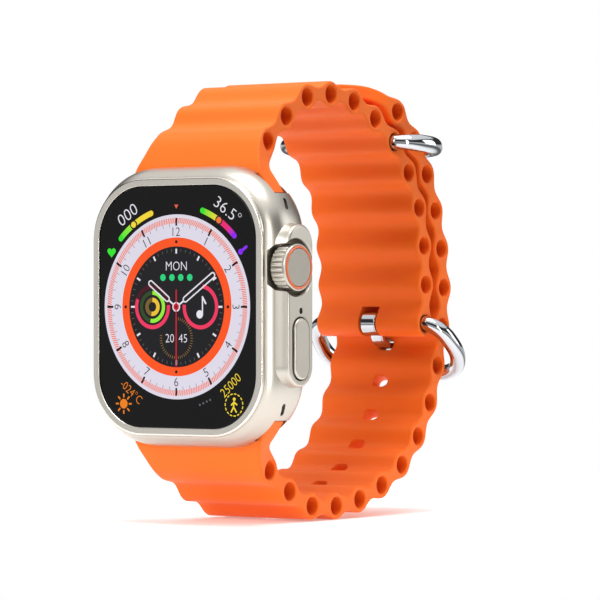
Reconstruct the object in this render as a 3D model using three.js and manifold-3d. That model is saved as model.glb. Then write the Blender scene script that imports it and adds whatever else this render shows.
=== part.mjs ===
// A square-cased running watch on a ribbed, hollow-tube elastomer band, buckled as it is worn.
// Millimetres. The origin is the middle of the flat on the sensor window, where the wrist rests:
// +Y goes from the dial into the wrist, +Z to twelve o'clock and +X to three o'clock, the crown's side.
import * as THREE from 'three';
import { mergeVertices } from 'three/addons/utils/BufferGeometryUtils.js';
import Module from 'manifold-3d';

const wasm = await Module();
wasm.setup();

// ---- driving dimensions ------------------------------------------------------------------
const FRONT_Y = -14.4; // face of the rim round the glass
const BACK_Y = -2; // face of the metal back; the sensor window stands 2 mm proud of it
const GUARD = { x: 22.5, y: -8.35, z: 0.2, length: 28, width: 7.2 };
const CROWN = { y: -9.6, z: 6.75, radius: 4.05, teeth: 26, floor: 19, inner: 19.6, face: 22.4, lip: 23 };
const VENT = { y: -8.6, z: 17.7, width: 0.8, height: 2.2, lean: 0.35 }; // near the crown's side's corners
const BUTTON = { y: -8.35, z: -7.2, length: 10.6, width: 4.2, floor: 20.6, inner: 21.3, face: 22.9 };
const CHANNEL = { y: -6.6, floor: 19.6, shoulder: 23.1, foot: 3.1, mouth: 2.15 }; // for the band
const RELEASE = { z: 20.3, length: 7, width: 1.6, inner: -3.3, outer: -1.9 };
const COVER = { halfWidth: 16.2, halfHeight: 18.7, corner: 9, window: 12 };
const SCREW = { x: 12.5, z: 15.2, head: 1, shank: 0.55, clearance: 0.8 };
const CAVITY = { front: -11.2, back: -5, halfWidth: 17.3, halfHeight: 18.4 };
const BAND_WIDTH = 23.2;
const ROOT_WIDTH = 32.4; // where the band flares to meet the corners of the case
const TUBE_RADIUS = 1.65;
const CREST = 2.4; // half the band's thickness over a tube
const VALLEY = 1.25; // half its thickness between two tubes
const NECK = 1.85; // half its thickness in the channel
const WIRE = 1.4; // radius of the keeper's and the buckle's wire

// The band's middle line, as (y, z) from the case outwards; its tubes are evenly spaced on it.
const UPPER_LINE = [[-6.6, 19.7], [-6.6, 24.2], [-2.7, 29.3], [8.3, 37], [15.3, 37.9], [22.5, 37],
  [35.1, 30.3], [43.2, 18.8], [45.6, 4.4], [45.2, -3.1], [44.7, -7]];
const UPPER_TUBES = { first: [-3.2, 28.8], last: [45.2, -3.1], count: 12 };
const LOWER_LINE = [[-6.6, -19.7], [-6.6, -24.2], [-2, -29.1], [9.6, -35.2], [16.8, -35.6],
  [24.1, -34.8], [37.4, -29.2], [46.8, -17.9], [51.5, 3.4], [46, 24.4], [36.5, 35.6],
  [31.2, 38.7], [26.4, 39.4]];
const LOWER_TUBES = { first: [-2.8, -28.4], last: [36.5, 35.6], count: 17 };
const ADJUSTING_HOLES = { first: 3, last: 10, length: 3.6, width: 2.3 }; // in the valleys after these tubes
const KEEPER = { tube: 7, turn: -0.08, depth: 12.3, halfWidth: 14.9 };
const BUCKLE = { tube: 12, turn: -0.8, depth: 13.1, halfWidth: 14.9 };

// ---- materials ---------------------------------------------------------------------------
const finish = (color, roughness, metalness) => () =>
  new THREE.MeshStandardMaterial({ color, roughness, metalness });
const titanium = finish(0xb9b2a4, 0.38, 1);
const chrome = finish(0xdfe2e6, 0.08, 1);
const steel = finish(0x85878a, 0.4, 1);
const elastomer = finish(0xf4672b, 0.55, 0);
const orangeLacquer = finish(0xf26a1e, 0.35, 0);
const blackGlass = finish(0x101113, 0.05, 0);
const ceramic = finish(0x1c1d20, 0.25, 0);
const rubber = finish(0x222222, 0.8, 0);
const plastic = finish(0x35373b, 0.6, 0);
const laminate = finish(0x1f5a38, 0.6, 0);
const copper = finish(0xb8733a, 0.35, 1);

// ---- shapes and solids -------------------------------------------------------------------
function roundedBox(halfWidth, halfHeight, corner) {
  const s = new THREE.Shape();
  const [x, y] = [halfWidth - corner, halfHeight - corner];
  const centres = [[x, y], [-x, y], [-x, -y], [x, -y]];
  centres.forEach(([cx, cy], quarter) => {
    s.absarc(cx, cy, corner, (quarter * Math.PI) / 2, ((quarter + 1) * Math.PI) / 2, false);
  });
  return s;
}

// A slot with round ends: width across the drawing's first axis, height along its second.
function slotShape(width, height) {
  const r = Math.min(width, height) / 2;
  const [x, y] = [width / 2 - r, height / 2 - r];
  const start = height > width ? 0 : -Math.PI / 2;
  return new THREE.Shape()
    .absarc(x, y, r, start, start + Math.PI, false)
    .absarc(-x, -y, r, start + Math.PI, start + 2 * Math.PI, false);
}

const disc = (radius) => new THREE.Shape().absarc(0, 0, radius, 0, 2 * Math.PI, false);

function extrude(shape, depth, edge, smooth) {
  return new THREE.ExtrudeGeometry(shape, {
    depth: depth - 2 * edge,
    steps: 1,
    curveSegments: smooth,
    bevelEnabled: edge > 0,
    bevelThickness: edge,
    bevelSize: edge,
    bevelOffset: -edge,
    bevelSegments: 1,
  }).translate(0, 0, edge);
}

// Drawn in X and Z, filling y from low to high.
const alongY = (shape, low, high, edge = 0, smooth = 6) =>
  extrude(shape, high - low, edge, smooth).rotateX(Math.PI / 2).translate(0, high, 0);

// Drawn in Y and Z, filling x from low to high.
const yzPlane = new THREE.Matrix4().makeBasis(
  new THREE.Vector3(0, 1, 0), new THREE.Vector3(0, 0, 1), new THREE.Vector3(1, 0, 0));
const alongX = (shape, low, high, edge = 0, smooth = 6) =>
  extrude(shape, high - low, edge, smooth).applyMatrix4(yzPlane).translate(low, 0, 0);

const box = (x, y, z) => // each is [low, high]
  new THREE.BoxGeometry(x[1] - x[0], y[1] - y[0], z[1] - z[0])
    .translate((x[0] + x[1]) / 2, (y[0] + y[1]) / 2, (z[0] + z[1]) / 2);

// Rounded rectangles [y, half width, half height, corner], skinned from the front to the back.
function loft(sections) {
  const rings = sections.map(([y, halfWidth, halfHeight, corner]) =>
    roundedBox(halfWidth, halfHeight, corner).getPoints(7).map((p) => [p.x, y, p.y]));
  const size = rings[0].length;
  const ends = [sections[0][0], sections.at(-1)[0]].map((y) => [0, y, 0]);
  const index = [];
  for (let i = 0; i < size; i++) {
    const j = (i + 1) % size;
    for (let ring = 0; ring < rings.length - 1; ring++) {
      const [a, b, c, d] = [ring * size + i, ring * size + j, (ring + 1) * size + j, (ring + 1) * size + i];
      index.push(a, c, b, a, d, c);
    }
    const last = (rings.length - 1) * size;
    index.push(rings.length * size, i, j, rings.length * size + 1, last + j, last + i);
  }
  const positions = [...rings.flat(), ...ends].flat();
  return new THREE.BufferGeometry()
    .setAttribute('position', new THREE.Float32BufferAttribute(positions, 3))
    .setIndex(index);
}

function solid(geometry) {
  const g = geometry.clone();
  g.deleteAttribute('normal');
  g.deleteAttribute('uv');
  const merged = mergeVertices(g, 1e-4);
  return new wasm.Manifold(new wasm.Mesh({
    numProp: 3,
    vertProperties: merged.attributes.position.array,
    triVerts: new Uint32Array(merged.index.array),
  }));
}

function geometryOf(manifold) {
  const mesh = manifold.getMesh();
  return new THREE.BufferGeometry()
    .setAttribute('position', new THREE.BufferAttribute(mesh.vertProperties, 3))
    .setIndex(new THREE.BufferAttribute(mesh.triVerts, 1));
}

const join = (...pieces) => pieces.map(solid).reduce((a, b) => a.add(b));
const cut = (geometry, ...tools) => tools.reduce((body, tool) => body.subtract(solid(tool)), solid(geometry));
const cutAway = (body, ...tools) => tools.reduce((left, tool) => left.subtract(solid(tool)), body);

const watch = new THREE.Group();
function add(name, shape, material, parent = watch) {
  const mesh = new THREE.Mesh(shape.isBufferGeometry ? shape : geometryOf(shape), material());
  mesh.name = name;
  parent.add(mesh);
  return mesh;
}

const signs = { upper: 1, lower: -1 };
const interval = (a, b) => [Math.min(a, b), Math.max(a, b)];

// ---- case --------------------------------------------------------------------------------
const BODY_SECTIONS = [[-14.1, 18.4, 22.2, 10.7], [-13.3, 19.2, 22.9, 11.3], [-11.5, 20.3, 24, 12.3],
  [-8.5, 20.75, 24.5, 13], [-5, 20.4, 24.2, 12.8], [-3, 19, 22.8, 11.6], [BACK_Y, 17.5, 21.3, 10.4]];

function caseShell() {
  const rim = alongY(roundedBox(18.7, 22.45, 10.9), FRONT_Y, -12, 0.25);
  const guard = alongX(slotShape(GUARD.width, GUARD.length), 17.5, GUARD.x, 0.5)
    .translate(0, GUARD.y, GUARD.z);
  const glassSeat = alongY(roundedBox(17.35, 21.35, 9.6), FRONT_Y - 1, -12.4);
  const displayWell = alongY(roundedBox(15.9, 19.6, 8.4), -13, CAVITY.front);
  const cavity = alongY(roundedBox(CAVITY.halfWidth, CAVITY.halfHeight, 9), CAVITY.front - 0.5, CAVITY.back);
  const backHole = alongY(roundedBox(14.6, 17.2, 11), CAVITY.back - 0.5, BACK_Y);
  const coverSeat = alongY(roundedBox(COVER.halfWidth + 0.2, COVER.halfHeight + 0.2, COVER.corner),
    -3.5, BACK_Y + 1);
  const tools = [glassSeat, displayWell, cavity, backHole, coverSeat];

  for (const sign of Object.values(signs)) {
    // A T slot right through the case, its mouth facing the band, and the hole of its release.
    const { y, floor, shoulder, foot, mouth } = CHANNEL;
    tools.push(box([-24, 24], [y - foot, y + foot], interval(sign * floor, sign * shoulder)));
    tools.push(box([-24, 24], [y - mouth, y + mouth], interval(sign * floor, sign * 26)));
    tools.push(alongY(slotShape(RELEASE.length + 0.4, RELEASE.width + 0.4), -4, BACK_Y + 1)
      .translate(0, 0, sign * (RELEASE.z + 0.4)));
    tools.push(alongX(slotShape(VENT.width, VENT.height), 16.5, 24, 0, 3).rotateX(-sign * VENT.lean)
      .translate(0, VENT.y + sign * 0.4, sign * VENT.z));
  }
  const crownBore = alongX(disc(2), 15, 20).translate(0, CROWN.y, CROWN.z);
  const buttonPocket = alongX(slotShape(BUTTON.width + 0.5, BUTTON.length + 0.5), BUTTON.floor, 25)
    .translate(0, BUTTON.y, BUTTON.z);
  const shaftHole = alongX(disc(1.3), 15, 22, 0, 4).translate(0, BUTTON.y, BUTTON.z);
  const microphoneHole = alongX(disc(0.45), 15, 25, 0, 3).translate(0, GUARD.y, -0.7);
  tools.push(crownBore, buttonPocket, shaftHole, microphoneHole);
  for (const z of [-12, -8, -4]) { // the speaker's outlets, on the other side
    tools.push(alongX(slotShape(1, 2.6), -24, -15, 0, 3).translate(0, GUARD.y, z));
  }
  for (const [x, z] of screwPlaces()) {
    tools.push(alongY(disc(SCREW.clearance), -6.5, BACK_Y, 0, 3).translate(x, 0, z));
  }
  const crownPocket = alongX(disc(CROWN.radius + 0.7), CROWN.floor, 25, 0, 8)
    .translate(0, CROWN.y, CROWN.z);
  return cutAway(join(loft(BODY_SECTIONS), rim, guard), ...tools, crownPocket);
}

function screwPlaces() {
  return [[1, 1], [-1, 1], [-1, -1], [1, -1]].map(([i, k]) => [i * SCREW.x, k * SCREW.z]);
}

add('case_shell', caseShell(), titanium);
add('front_crystal', alongY(roundedBox(17.1, 21.1, 9.4), FRONT_Y + 0.1, -13, 0.3), blackGlass);
add('crystal_gasket', cut(alongY(roundedBox(17, 21, 9.3), -12.9, -12.5),
  alongY(roundedBox(16.2, 19.9, 8.6), -13.5, -12)), rubber);
add('display_panel', alongY(roundedBox(15.6, 19.3, 8.2), -12.8, -12), blackGlass);
add('display_frame', cut(alongY(roundedBox(15.4, 18, 7), -11.9, -11.4),
  box([-12, 12], [-13, -10], [-14, 14])), plastic);

// ---- inside the case ---------------------------------------------------------------------
add('main_board', box([-12.1, 12.1], [-11.1, -10.3], [-16, 16]), laminate);
add('battery', alongY(roundedBox(10.8, 9, 1.5), -10, -5.6, 0.4), plastic);
add('gps_antenna', box([-10, 10], [-10.9, -8.4], [16.4, 17.9]), copper);
add('speaker', alongY(roundedBox(1.9, 4, 0.8), -10, -6.2).translate(-14.6, 0, -8), plastic);
add('microphone', box([14.4, 16.6], [-9.5, -7.3], [-1.9, 0.5]), steel);
add('vibration_motor', alongY(disc(3.2), -9.9, -6.9).translate(-5, 0, 12.9), steel);

// ---- crown -------------------------------------------------------------------------------
const onCrown = (geometry) => geometry.translate(0, CROWN.y, CROWN.z);
const ring = (outer, inner, low, high) =>
  onCrown(geometryOf(cut(alongX(disc(outer), low, high), alongX(disc(inner), low - 1, high + 1))));

function gearShape(radius, teeth, depth) {
  const s = new THREE.Shape();
  for (let i = 0; i < teeth * 4; i++) {
    const angle = (2 * Math.PI * (i - 0.5)) / (teeth * 4);
    const r = i % 4 < 2 ? radius : radius - depth;
    if (i === 0) s.moveTo(r * Math.cos(angle), r * Math.sin(angle));
    else s.lineTo(r * Math.cos(angle), r * Math.sin(angle));
  }
  s.closePath();
  return s;
}

const stemHole = alongX(disc(1), 15, 21.5);
add('crown_bush', ring(1.9, 1.45, 16.2, 18.9), steel);
add('crown_encoder', geometryOf(cut(box([14.2, 16], [-12.2, -8], [CROWN.z - 2, CROWN.z + 2])
  .translate(0, 1.2, 0), alongX(disc(1.1), 13, 17).translate(0, CROWN.y, CROWN.z))), plastic);
add('crown_switch', box([11.3, 12.3], [CROWN.y - 0.6, CROWN.y + 1.8], [CROWN.z - 1.5, CROWN.z + 1.5]), steel);
add('crown_plunger', onCrown(alongX(disc(1.4), 12.8, 13.6)), steel);
add('crown_knob', onCrown(geometryOf(cut(
  alongX(gearShape(CROWN.radius, CROWN.teeth, 0.25), CROWN.inner, CROWN.lip), stemHole,
  alongX(disc(CROWN.radius - 0.3), CROWN.face, CROWN.lip + 1)))), titanium);
add('crown_stem', onCrown(alongX(disc(0.8), 13.8, 21.2)), steel);
add('crown_seal', ring(1.35, 0.9, 17.2, 17.9), rubber);
add('crown_ring', ring(CROWN.radius - 0.4, 3.35, CROWN.face + 0.1, CROWN.face + 0.8), orangeLacquer);
add('crown_face', onCrown(alongX(disc(3.25), CROWN.face + 0.1, CROWN.face + 0.7, 0.15)), titanium);

// ---- side button -------------------------------------------------------------------------
const onButton = (geometry) => geometry.translate(0, BUTTON.y, BUTTON.z);
const buttonCap = alongX(slotShape(BUTTON.width, BUTTON.length), BUTTON.inner, BUTTON.face, 0.3);
const buttonShaft = alongX(disc(0.8), 14.8, BUTTON.inner + 0.5);
add('side_button', onButton(geometryOf(join(buttonCap, buttonShaft))), titanium);
add('side_button_seal', onButton(geometryOf(
  cut(alongX(disc(1.2), 18, 18.8), alongX(disc(0.9), 17, 20)))), rubber);
add('button_switch', box([13, 14.2], [-9.6, -7.2], [BUTTON.z - 1.5, BUTTON.z + 1.5]), steel);

// ---- back --------------------------------------------------------------------------------
const coverHoles = screwPlaces().flatMap(([x, z]) => [
  alongY(disc(SCREW.head + 0.15), -2.9, 0).translate(x, 0, z),
  alongY(disc(SCREW.clearance), -4, 0).translate(x, 0, z),
]);
add('back_cover', cut(alongY(roundedBox(COVER.halfWidth, COVER.halfHeight, COVER.corner - 0.2), -3.1, BACK_Y),
  alongY(disc(COVER.window + 0.25), -4, 0, 0, 20), ...coverHoles), ceramic);
const gasketHoles = screwPlaces().map(([x, z]) => alongY(disc(SCREW.clearance - 0.05), -4, 0, 0, 4)
  .translate(x, 0, z));
add('back_gasket', cut(alongY(roundedBox(15.9, 18.4, 8.8), -3.4, -3.2),
  alongY(roundedBox(14.9, 17.5, 9.4), -4, -2), ...gasketHoles), rubber);
screwPlaces().forEach(([x, z], i) => {
  const screw = join(alongY(disc(SCREW.head), -2.85, -2.15), alongY(disc(SCREW.shank), -5.4, -2.5));
  add(`back_screw_${i + 1}`, cutAway(screw, box([-0.7, 0.7], [-2.4, -1], [-0.12, 0.12]))
    .translate([x, 0, z]), steel);
});
const dome = [[0, -3.2], [12, -3.2], [12, -2.1], [11.4, -1.3], [9.4, -0.55], [6.5, 0], [0, 0]];
add('sensor_window', new THREE.LatheGeometry(dome.map(([r, y]) => new THREE.Vector2(r, y)), 36), blackGlass);
add('sensor_board', alongY(disc(8), -4.6, -3.7), laminate);
add('charging_coil', cut(alongY(disc(12), -4.4, -3.7), alongY(disc(9), -5, -3)), copper);

// ---- band --------------------------------------------------------------------------------
// The middle line with a distance scale: at(s) is the point, across(s) the unit normal.
function middleLine(points) {
  const places = points.map(([y, z]) => new THREE.Vector3(y, z, 0));
  const curve = new THREE.CatmullRomCurve3(places, false, 'centripetal');
  curve.arcLengthDivisions = 2000;
  const length = curve.getLength();
  const at = (s) => curve.getPointAt(THREE.MathUtils.clamp(s / length, 0, 1));
  const across = (s) => {
    const t = curve.getTangentAt(THREE.MathUtils.clamp(s / length, 0, 1));
    return new THREE.Vector3(-t.y, t.x, 0);
  };
  const distanceTo = ([y, z]) => {
    const target = new THREE.Vector3(y, z, 0);
    const stations = Array.from({ length: 2001 }, (_, i) => (i * length) / 2000);
    return stations.reduce((best, s) =>
      (at(s).distanceTo(target) < at(best).distanceTo(target) ? s : best));
  };
  return { length, at, across, distanceTo };
}

function bandLayout(points, tubes) {
  const line = middleLine(points);
  const first = line.distanceTo(tubes.first);
  const pitch = (line.distanceTo(tubes.last) - first) / (tubes.count - 1);
  const stations = Array.from({ length: tubes.count }, (_, i) => first + i * pitch);
  return { line, first, pitch, stations };
}

// Side view of a band half: waves in step with its tubes, straight in the channel, round at the end.
function bandProfile({ line, first, pitch, stations }, start, end, endRadius) {
  const lastTube = stations.at(-1);
  const halfThickness = (s) => {
    const wave = VALLEY + (CREST - VALLEY) * (0.5 + 0.5 * Math.cos((2 * Math.PI * (s - first)) / pitch));
    const rise = THREE.MathUtils.smoothstep(s, first - 5, first - 1);
    const body = s < first ? NECK + (CREST - NECK) * rise : wave;
    const flat = s > lastTube + 0.45 * pitch ? VALLEY : body;
    const intoEnd = s - (end - endRadius);
    if (intoEnd <= 0) return flat;
    return Math.min(flat, Math.sqrt(Math.max(endRadius ** 2 - intoEnd ** 2, 0.01)));
  };
  const step = pitch / 7;
  const count = Math.ceil((end - start) / step);
  const stationsOut = Array.from({ length: count + 1 }, (_, i) => start + ((end - start) * i) / count);
  const offset = (s, side) => line.at(s).addScaledVector(line.across(s), side * halfThickness(s));
  const [inner, outer] = [-1, 1].map((side) => stationsOut.map((s) => offset(s, side)));
  const outline = [...inner, ...outer.toReversed()];
  const corners = outline.map((p) => new THREE.Vector2(p.x, p.y));
  return new THREE.Shape(THREE.ShapeUtils.isClockWise(corners) ? corners.reverse() : corners);
}

function tubesThrough(shape, { line, stations }) {
  for (const s of stations) {
    const { x, y } = line.at(s);
    shape.holes.push(new THREE.Path().absarc(x, y, TUBE_RADIUS, 0, 2 * Math.PI, true));
  }
  return shape;
}

// Front view of the root: band width at the first tube, flaring to the corners of the case.
function rootOutline(sign) {
  const half = BAND_WIDTH / 2;
  const tip = ROOT_WIDTH / 2;
  const s = new THREE.Shape();
  s.moveTo(-half, 29.5);
  s.quadraticCurveTo(-half - 0.5, 26, -tip, 19.9);
  s.lineTo(tip, 19.9);
  s.quadraticCurveTo(half + 0.5, 26, half, 29.5);
  s.closePath();
  return sign > 0 ? s : new THREE.Shape(s.getPoints(6).map((p) => new THREE.Vector2(p.x, -p.y)));
}

function bandHalf(layout, end, endRadius, sign) {
  const { first } = layout;
  const narrow = alongX(tubesThrough(bandProfile(layout, 4.5, end, endRadius), layout),
    -BAND_WIDTH / 2, BAND_WIDTH / 2, 0, 3);
  const root = solid(alongX(bandProfile(layout, 0.1, first + 2.4, 0.5), -ROOT_WIDTH / 2, ROOT_WIDTH / 2))
    .intersect(solid(alongY(rootOutline(sign), -14, 4)));
  const { x, y } = layout.line.at(first);
  const firstTube = alongX(disc(TUBE_RADIUS), -20, 20, 0, 3).translate(0, x, y);
  const forFoot = box([-12.9, 12.9], [-13, 0], interval(sign * 18, sign * (CHANNEL.shoulder + 0.3)));
  const { y: middle } = CHANNEL;
  const forTongue = box([-12.1, 12.1], [middle - 0.95, middle + 0.95], interval(sign * 22, sign * 25.4));
  return cutAway(root.add(solid(narrow)), firstTube, forFoot, forTongue);
}

// The metal end of a band half: a foot that fills the channel, and a tongue moulded into the band.
function connector(sign) {
  const { y, floor, shoulder, foot } = CHANNEL;
  const footBlock = box([-12.6, 12.6], [y - foot + 0.25, y + foot - 0.25],
    interval(sign * (floor + 0.3), sign * (shoulder - 0.25)));
  const tongue = box([-11.8, 11.8], [y - 0.65, y + 0.65], interval(sign * (floor + 1), sign * 25.1));
  const releaseGroove = box([-15, 15], [-4.7, -3], interval(sign * (floor - 1), sign * 21.9));
  const catchPocket = box([-3.3, 3.3], [-6, -3], interval(sign * (floor - 1), sign * 21.5));
  return cutAway(join(footBlock, tongue), releaseGroove, catchPocket);
}

const upper = bandLayout(UPPER_LINE, UPPER_TUBES);
const lower = bandLayout(LOWER_LINE, LOWER_TUBES);
const tubeCentre = (tube) => upper.line.at(upper.stations[tube - 1]);

// The tongue's barrel turns in a slot through the last tube.
const barrelSlot = alongX(disc(3.3), -2, 2)
  .translate(0, tubeCentre(BUCKLE.tube).x, tubeCentre(BUCKLE.tube).y);
add('upper_strap', cutAway(bandHalf(upper, upper.stations.at(-1) + CREST, CREST, 1), barrelSlot), elastomer);

function adjustingHoles() {
  const holes = [];
  for (let i = ADJUSTING_HOLES.first; i <= ADJUSTING_HOLES.last; i++) {
    const s = lower.stations[i - 1] + lower.pitch / 2;
    const centre = lower.line.at(s);
    const normal = lower.line.across(s);
    const { length, width } = ADJUSTING_HOLES;
    holes.push(extrude(slotShape(length, width), 8, 0, 4).translate(0, 0, -4)
      .rotateX(Math.atan2(-normal.x, normal.y)).translate(0, centre.x, centre.y));
  }
  return holes;
}

const END_RADIUS = 11.5; // of the lower half's round end, seen from above
const roundEnd = solid(box([-13, 13], [24, 38], [34, 45]))
  .subtract(solid(new THREE.CylinderGeometry(END_RADIUS, END_RADIUS, 20, 40).rotateX(Math.PI / 2)
    .translate(0, 26.4 + END_RADIUS, 40)));
add('lower_strap', cutAway(bandHalf(lower, lower.line.length - 0.1, 1.1, -1), ...adjustingHoles())
  .subtract(roundEnd), elastomer);

for (const [half, sign] of Object.entries(signs)) {
  add(`${half}_connector`, connector(sign), titanium);
  add(`${half}_catch`, box([-3, 3], [-5.8, -5.1], interval(sign * 20.2, sign * 21.2)), steel);
  add(`${half}_release_button`, alongY(slotShape(RELEASE.length, RELEASE.width), RELEASE.inner, RELEASE.outer)
    .translate(0, 0, sign * (RELEASE.z + 0.4)), ceramic);
}

// ---- keeper and buckle -------------------------------------------------------------------
// A wire that starts inside the band's tube, bows out along +Y, crosses over and comes back.
function wireLoop({ depth, halfWidth }) {
  const side = [[9.3, 0], [10.6, 0], [11.9, 0], [halfWidth - 0.9, 1.7], [halfWidth, 4.8],
    [halfWidth, 0.6 * depth], [halfWidth - 1.5, 0.84 * depth], [halfWidth - 4.4, 0.975 * depth],
    [halfWidth - 8, depth]];
  const round = [...side, ...side.toReversed().map(([x, y]) => [-x, y])];
  const path = new THREE.CatmullRomCurve3(
    round.map(([x, y]) => new THREE.Vector3(x, y, 0)), false, 'centripetal');
  return new THREE.ExtrudeGeometry(disc(WIRE), {
    steps: 64, curveSegments: 4, extrudePath: path, bevelEnabled: false,
  });
}

// A group on the middle of one of the upper half's tubes, with +Y turned to face the way out.
function pivot(tube, turn) {
  const g = new THREE.Group();
  const { x, y } = tubeCentre(tube);
  g.position.set(0, x, y);
  g.rotation.x = turn;
  watch.add(g);
  return g;
}

const bar = () => alongX(disc(WIRE), -9, 9, 0, 5);
const keeper = pivot(KEEPER.tube, KEEPER.turn);
add('keeper_loop', wireLoop(KEEPER), chrome, keeper);
add('keeper_bar', bar(), chrome, keeper);
const buckle = pivot(BUCKLE.tube, BUCKLE.turn);
add('buckle_ring', wireLoop(BUCKLE), chrome, buckle);
add('buckle_bar', bar(), chrome, buckle);

// From the barrel the tongue drops behind the inner half, goes through a hole and rests on the ring.
function tongue() {
  const line = [[0.9, -1.4], [1.6, -3.1], [3.4, -4.05], [5.2, -4.25], [7, -4.75], [9.4, -6.3], [11.6, -7.9]];
  const centre = new THREE.SplineCurve(line.map(([y, z]) => new THREE.Vector2(y, z)));
  const half = 0.55;
  const stations = Array.from({ length: 17 }, (_, i) => i / 16);
  const side = (t, sign) => {
    const tangent = centre.getTangent(t);
    return centre.getPoint(t).add(new THREE.Vector2(-tangent.y, tangent.x).multiplyScalar(sign * half));
  };
  const outline = [...stations.map((t) => side(t, -1)), ...stations.toReversed().map((t) => side(t, 1))];
  const blade = alongX(new THREE.Shape(outline), -1.3, 1.3);
  return cutAway(join(blade, alongX(disc(2.3), -1.6, 1.6)), alongX(disc(WIRE + 0.25), -3, 3));
}

add('buckle_tongue', tongue(), chrome, pivot(BUCKLE.tube, 0));

export default watch;
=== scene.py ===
"""A square-cased running watch on an orange hollow-tube band, closed in a loop as it is worn.
Metres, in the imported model's frame: +Y from the dial into the wrist, +Z to twelve o'clock."""
import math

import bmesh
import bpy
import numpy as np
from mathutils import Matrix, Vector


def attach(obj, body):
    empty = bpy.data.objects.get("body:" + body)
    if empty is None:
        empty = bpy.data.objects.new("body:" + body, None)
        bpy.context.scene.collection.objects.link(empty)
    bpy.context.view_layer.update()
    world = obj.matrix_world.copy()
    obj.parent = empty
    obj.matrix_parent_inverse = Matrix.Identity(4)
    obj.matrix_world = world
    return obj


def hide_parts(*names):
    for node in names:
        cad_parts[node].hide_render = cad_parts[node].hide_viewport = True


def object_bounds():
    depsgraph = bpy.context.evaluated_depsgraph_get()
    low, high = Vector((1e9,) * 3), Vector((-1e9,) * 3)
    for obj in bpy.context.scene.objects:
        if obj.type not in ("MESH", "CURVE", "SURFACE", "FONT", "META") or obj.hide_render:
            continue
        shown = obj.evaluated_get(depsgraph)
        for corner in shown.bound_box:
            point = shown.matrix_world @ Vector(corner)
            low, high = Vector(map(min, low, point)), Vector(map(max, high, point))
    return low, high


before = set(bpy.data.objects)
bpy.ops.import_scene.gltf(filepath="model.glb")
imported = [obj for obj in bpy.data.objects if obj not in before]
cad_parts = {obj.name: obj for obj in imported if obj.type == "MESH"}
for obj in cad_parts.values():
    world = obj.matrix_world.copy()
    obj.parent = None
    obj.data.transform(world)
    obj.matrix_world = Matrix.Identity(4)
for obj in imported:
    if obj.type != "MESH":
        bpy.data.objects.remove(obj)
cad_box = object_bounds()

# ---- View and studio -------------------------------------------------------------------------
# The watch is seen from three o'clock's side at dial height, with a long lens as a catalogue
# picture is. It stands on the outside of its own band, on a pale sweep, between soft boxes.

MM = 0.001
DIAL_Y = -14.4 * MM
VIEW_TURN = math.radians(36.37)
VIEW_DISTANCE = 642.5 * MM
VIEW_SIDESTEP = 21.53 * MM
FLOOR_CENTRE = 20 * MM  # in y, under the middle of the loop
FLOOR_FADE = (70 * MM, 190 * MM)  # the sweep is solid inside the first radius, gone at the second


def linear(red, green, blue):
    """A display colour, each part 0 to 255, as the linear colour that shaders take."""
    part = np.array([red, green, blue]) / 255
    part = np.where(part < 0.04045, part / 12.92, ((part + 0.055) / 1.055) ** 2.4)
    return (*part.tolist(), 1.0)


class Signal:
    """One shader socket. Python's operators on it add Math nodes to the same material."""

    def __init__(self, tree, out=None):
        self.tree = tree
        self.out = out

    def node(self, kind, settings=None, inputs=None, output=0, stops=()):
        """Adds a node: its settings, then a ramp's stops, then its sockets by name or number."""
        made = self.tree.nodes.new(kind)
        for name, value in (settings or {}).items():
            setattr(made, name, value)
        for number, (place, tint) in enumerate(stops):
            ramp = made.color_ramp.elements
            stop = ramp[number] if number < 2 else ramp.new(place)
            stop.position = place
            stop.color = tint
        for name, value in (inputs or {}).items():
            self.feed(made.inputs[name], value)
        return Signal(self.tree, made.outputs[output])

    def feed(self, socket, value):
        if isinstance(value, Signal):
            self.tree.links.new(value.out, socket)
        else:
            socket.default_value = value

    def math(self, operation, *values, clamp=False):
        settings = {"operation": operation, "use_clamp": clamp}
        return self.node("ShaderNodeMath", settings, dict(enumerate(values)))

    def __add__(self, other):
        return self.math("ADD", self, other)

    __radd__ = __add__

    def __sub__(self, other):
        return self.math("SUBTRACT", self, other)

    def __rsub__(self, other):
        return self.math("SUBTRACT", other, self)

    def __mul__(self, other):
        return self.math("MULTIPLY", self, other)

    __rmul__ = __mul__

    def root(self):
        return self.math("SQRT", self)

    def ease(self, low, high):
        """0 below low, 1 above high, and a smooth rise between them."""
        settings = {"interpolation_type": "SMOOTHSTEP"}
        return self.node("ShaderNodeMapRange", settings, {0: self, 1: low, 2: high})

    def blend(self, first, second):
        """The colour that goes from first to second as this signal goes from 0 to 1."""
        return self.node("ShaderNodeMix", {"data_type": "RGBA"}, {0: self, 6: first, 7: second}, 2)

    def noise(self, size, detail=2):
        """Cloudy noise on this place, its lumps about size metres across."""
        inputs = {"Vector": self, "Scale": 1 / size, "Detail": detail}
        return self.node("ShaderNodeTexNoise", {}, inputs)


class Finish:
    """A material of one Principled shader. place is the Object coordinate of the surface."""

    def __init__(self, name, **constants):
        self.material = bpy.data.materials.new(name)
        self.material.use_nodes = True
        tree = self.material.node_tree
        self.shader = tree.nodes["Principled BSDF"]
        for socket, value in constants.items():
            self.shader.inputs[socket.replace("_", " ")].default_value = value
        self.place = Signal(tree).node("ShaderNodeTexCoord", output="Object")

    def vary(self, socket, value):
        self.place.feed(self.shader.inputs[socket], value)

    def bump(self, height, depth):
        """height, 0 to 1, raises the surface by up to depth metres."""
        inputs = {"Height": height, "Distance": depth, "Strength": 1.0}
        self.vary("Normal", self.place.node("ShaderNodeBump", {}, inputs))


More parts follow.
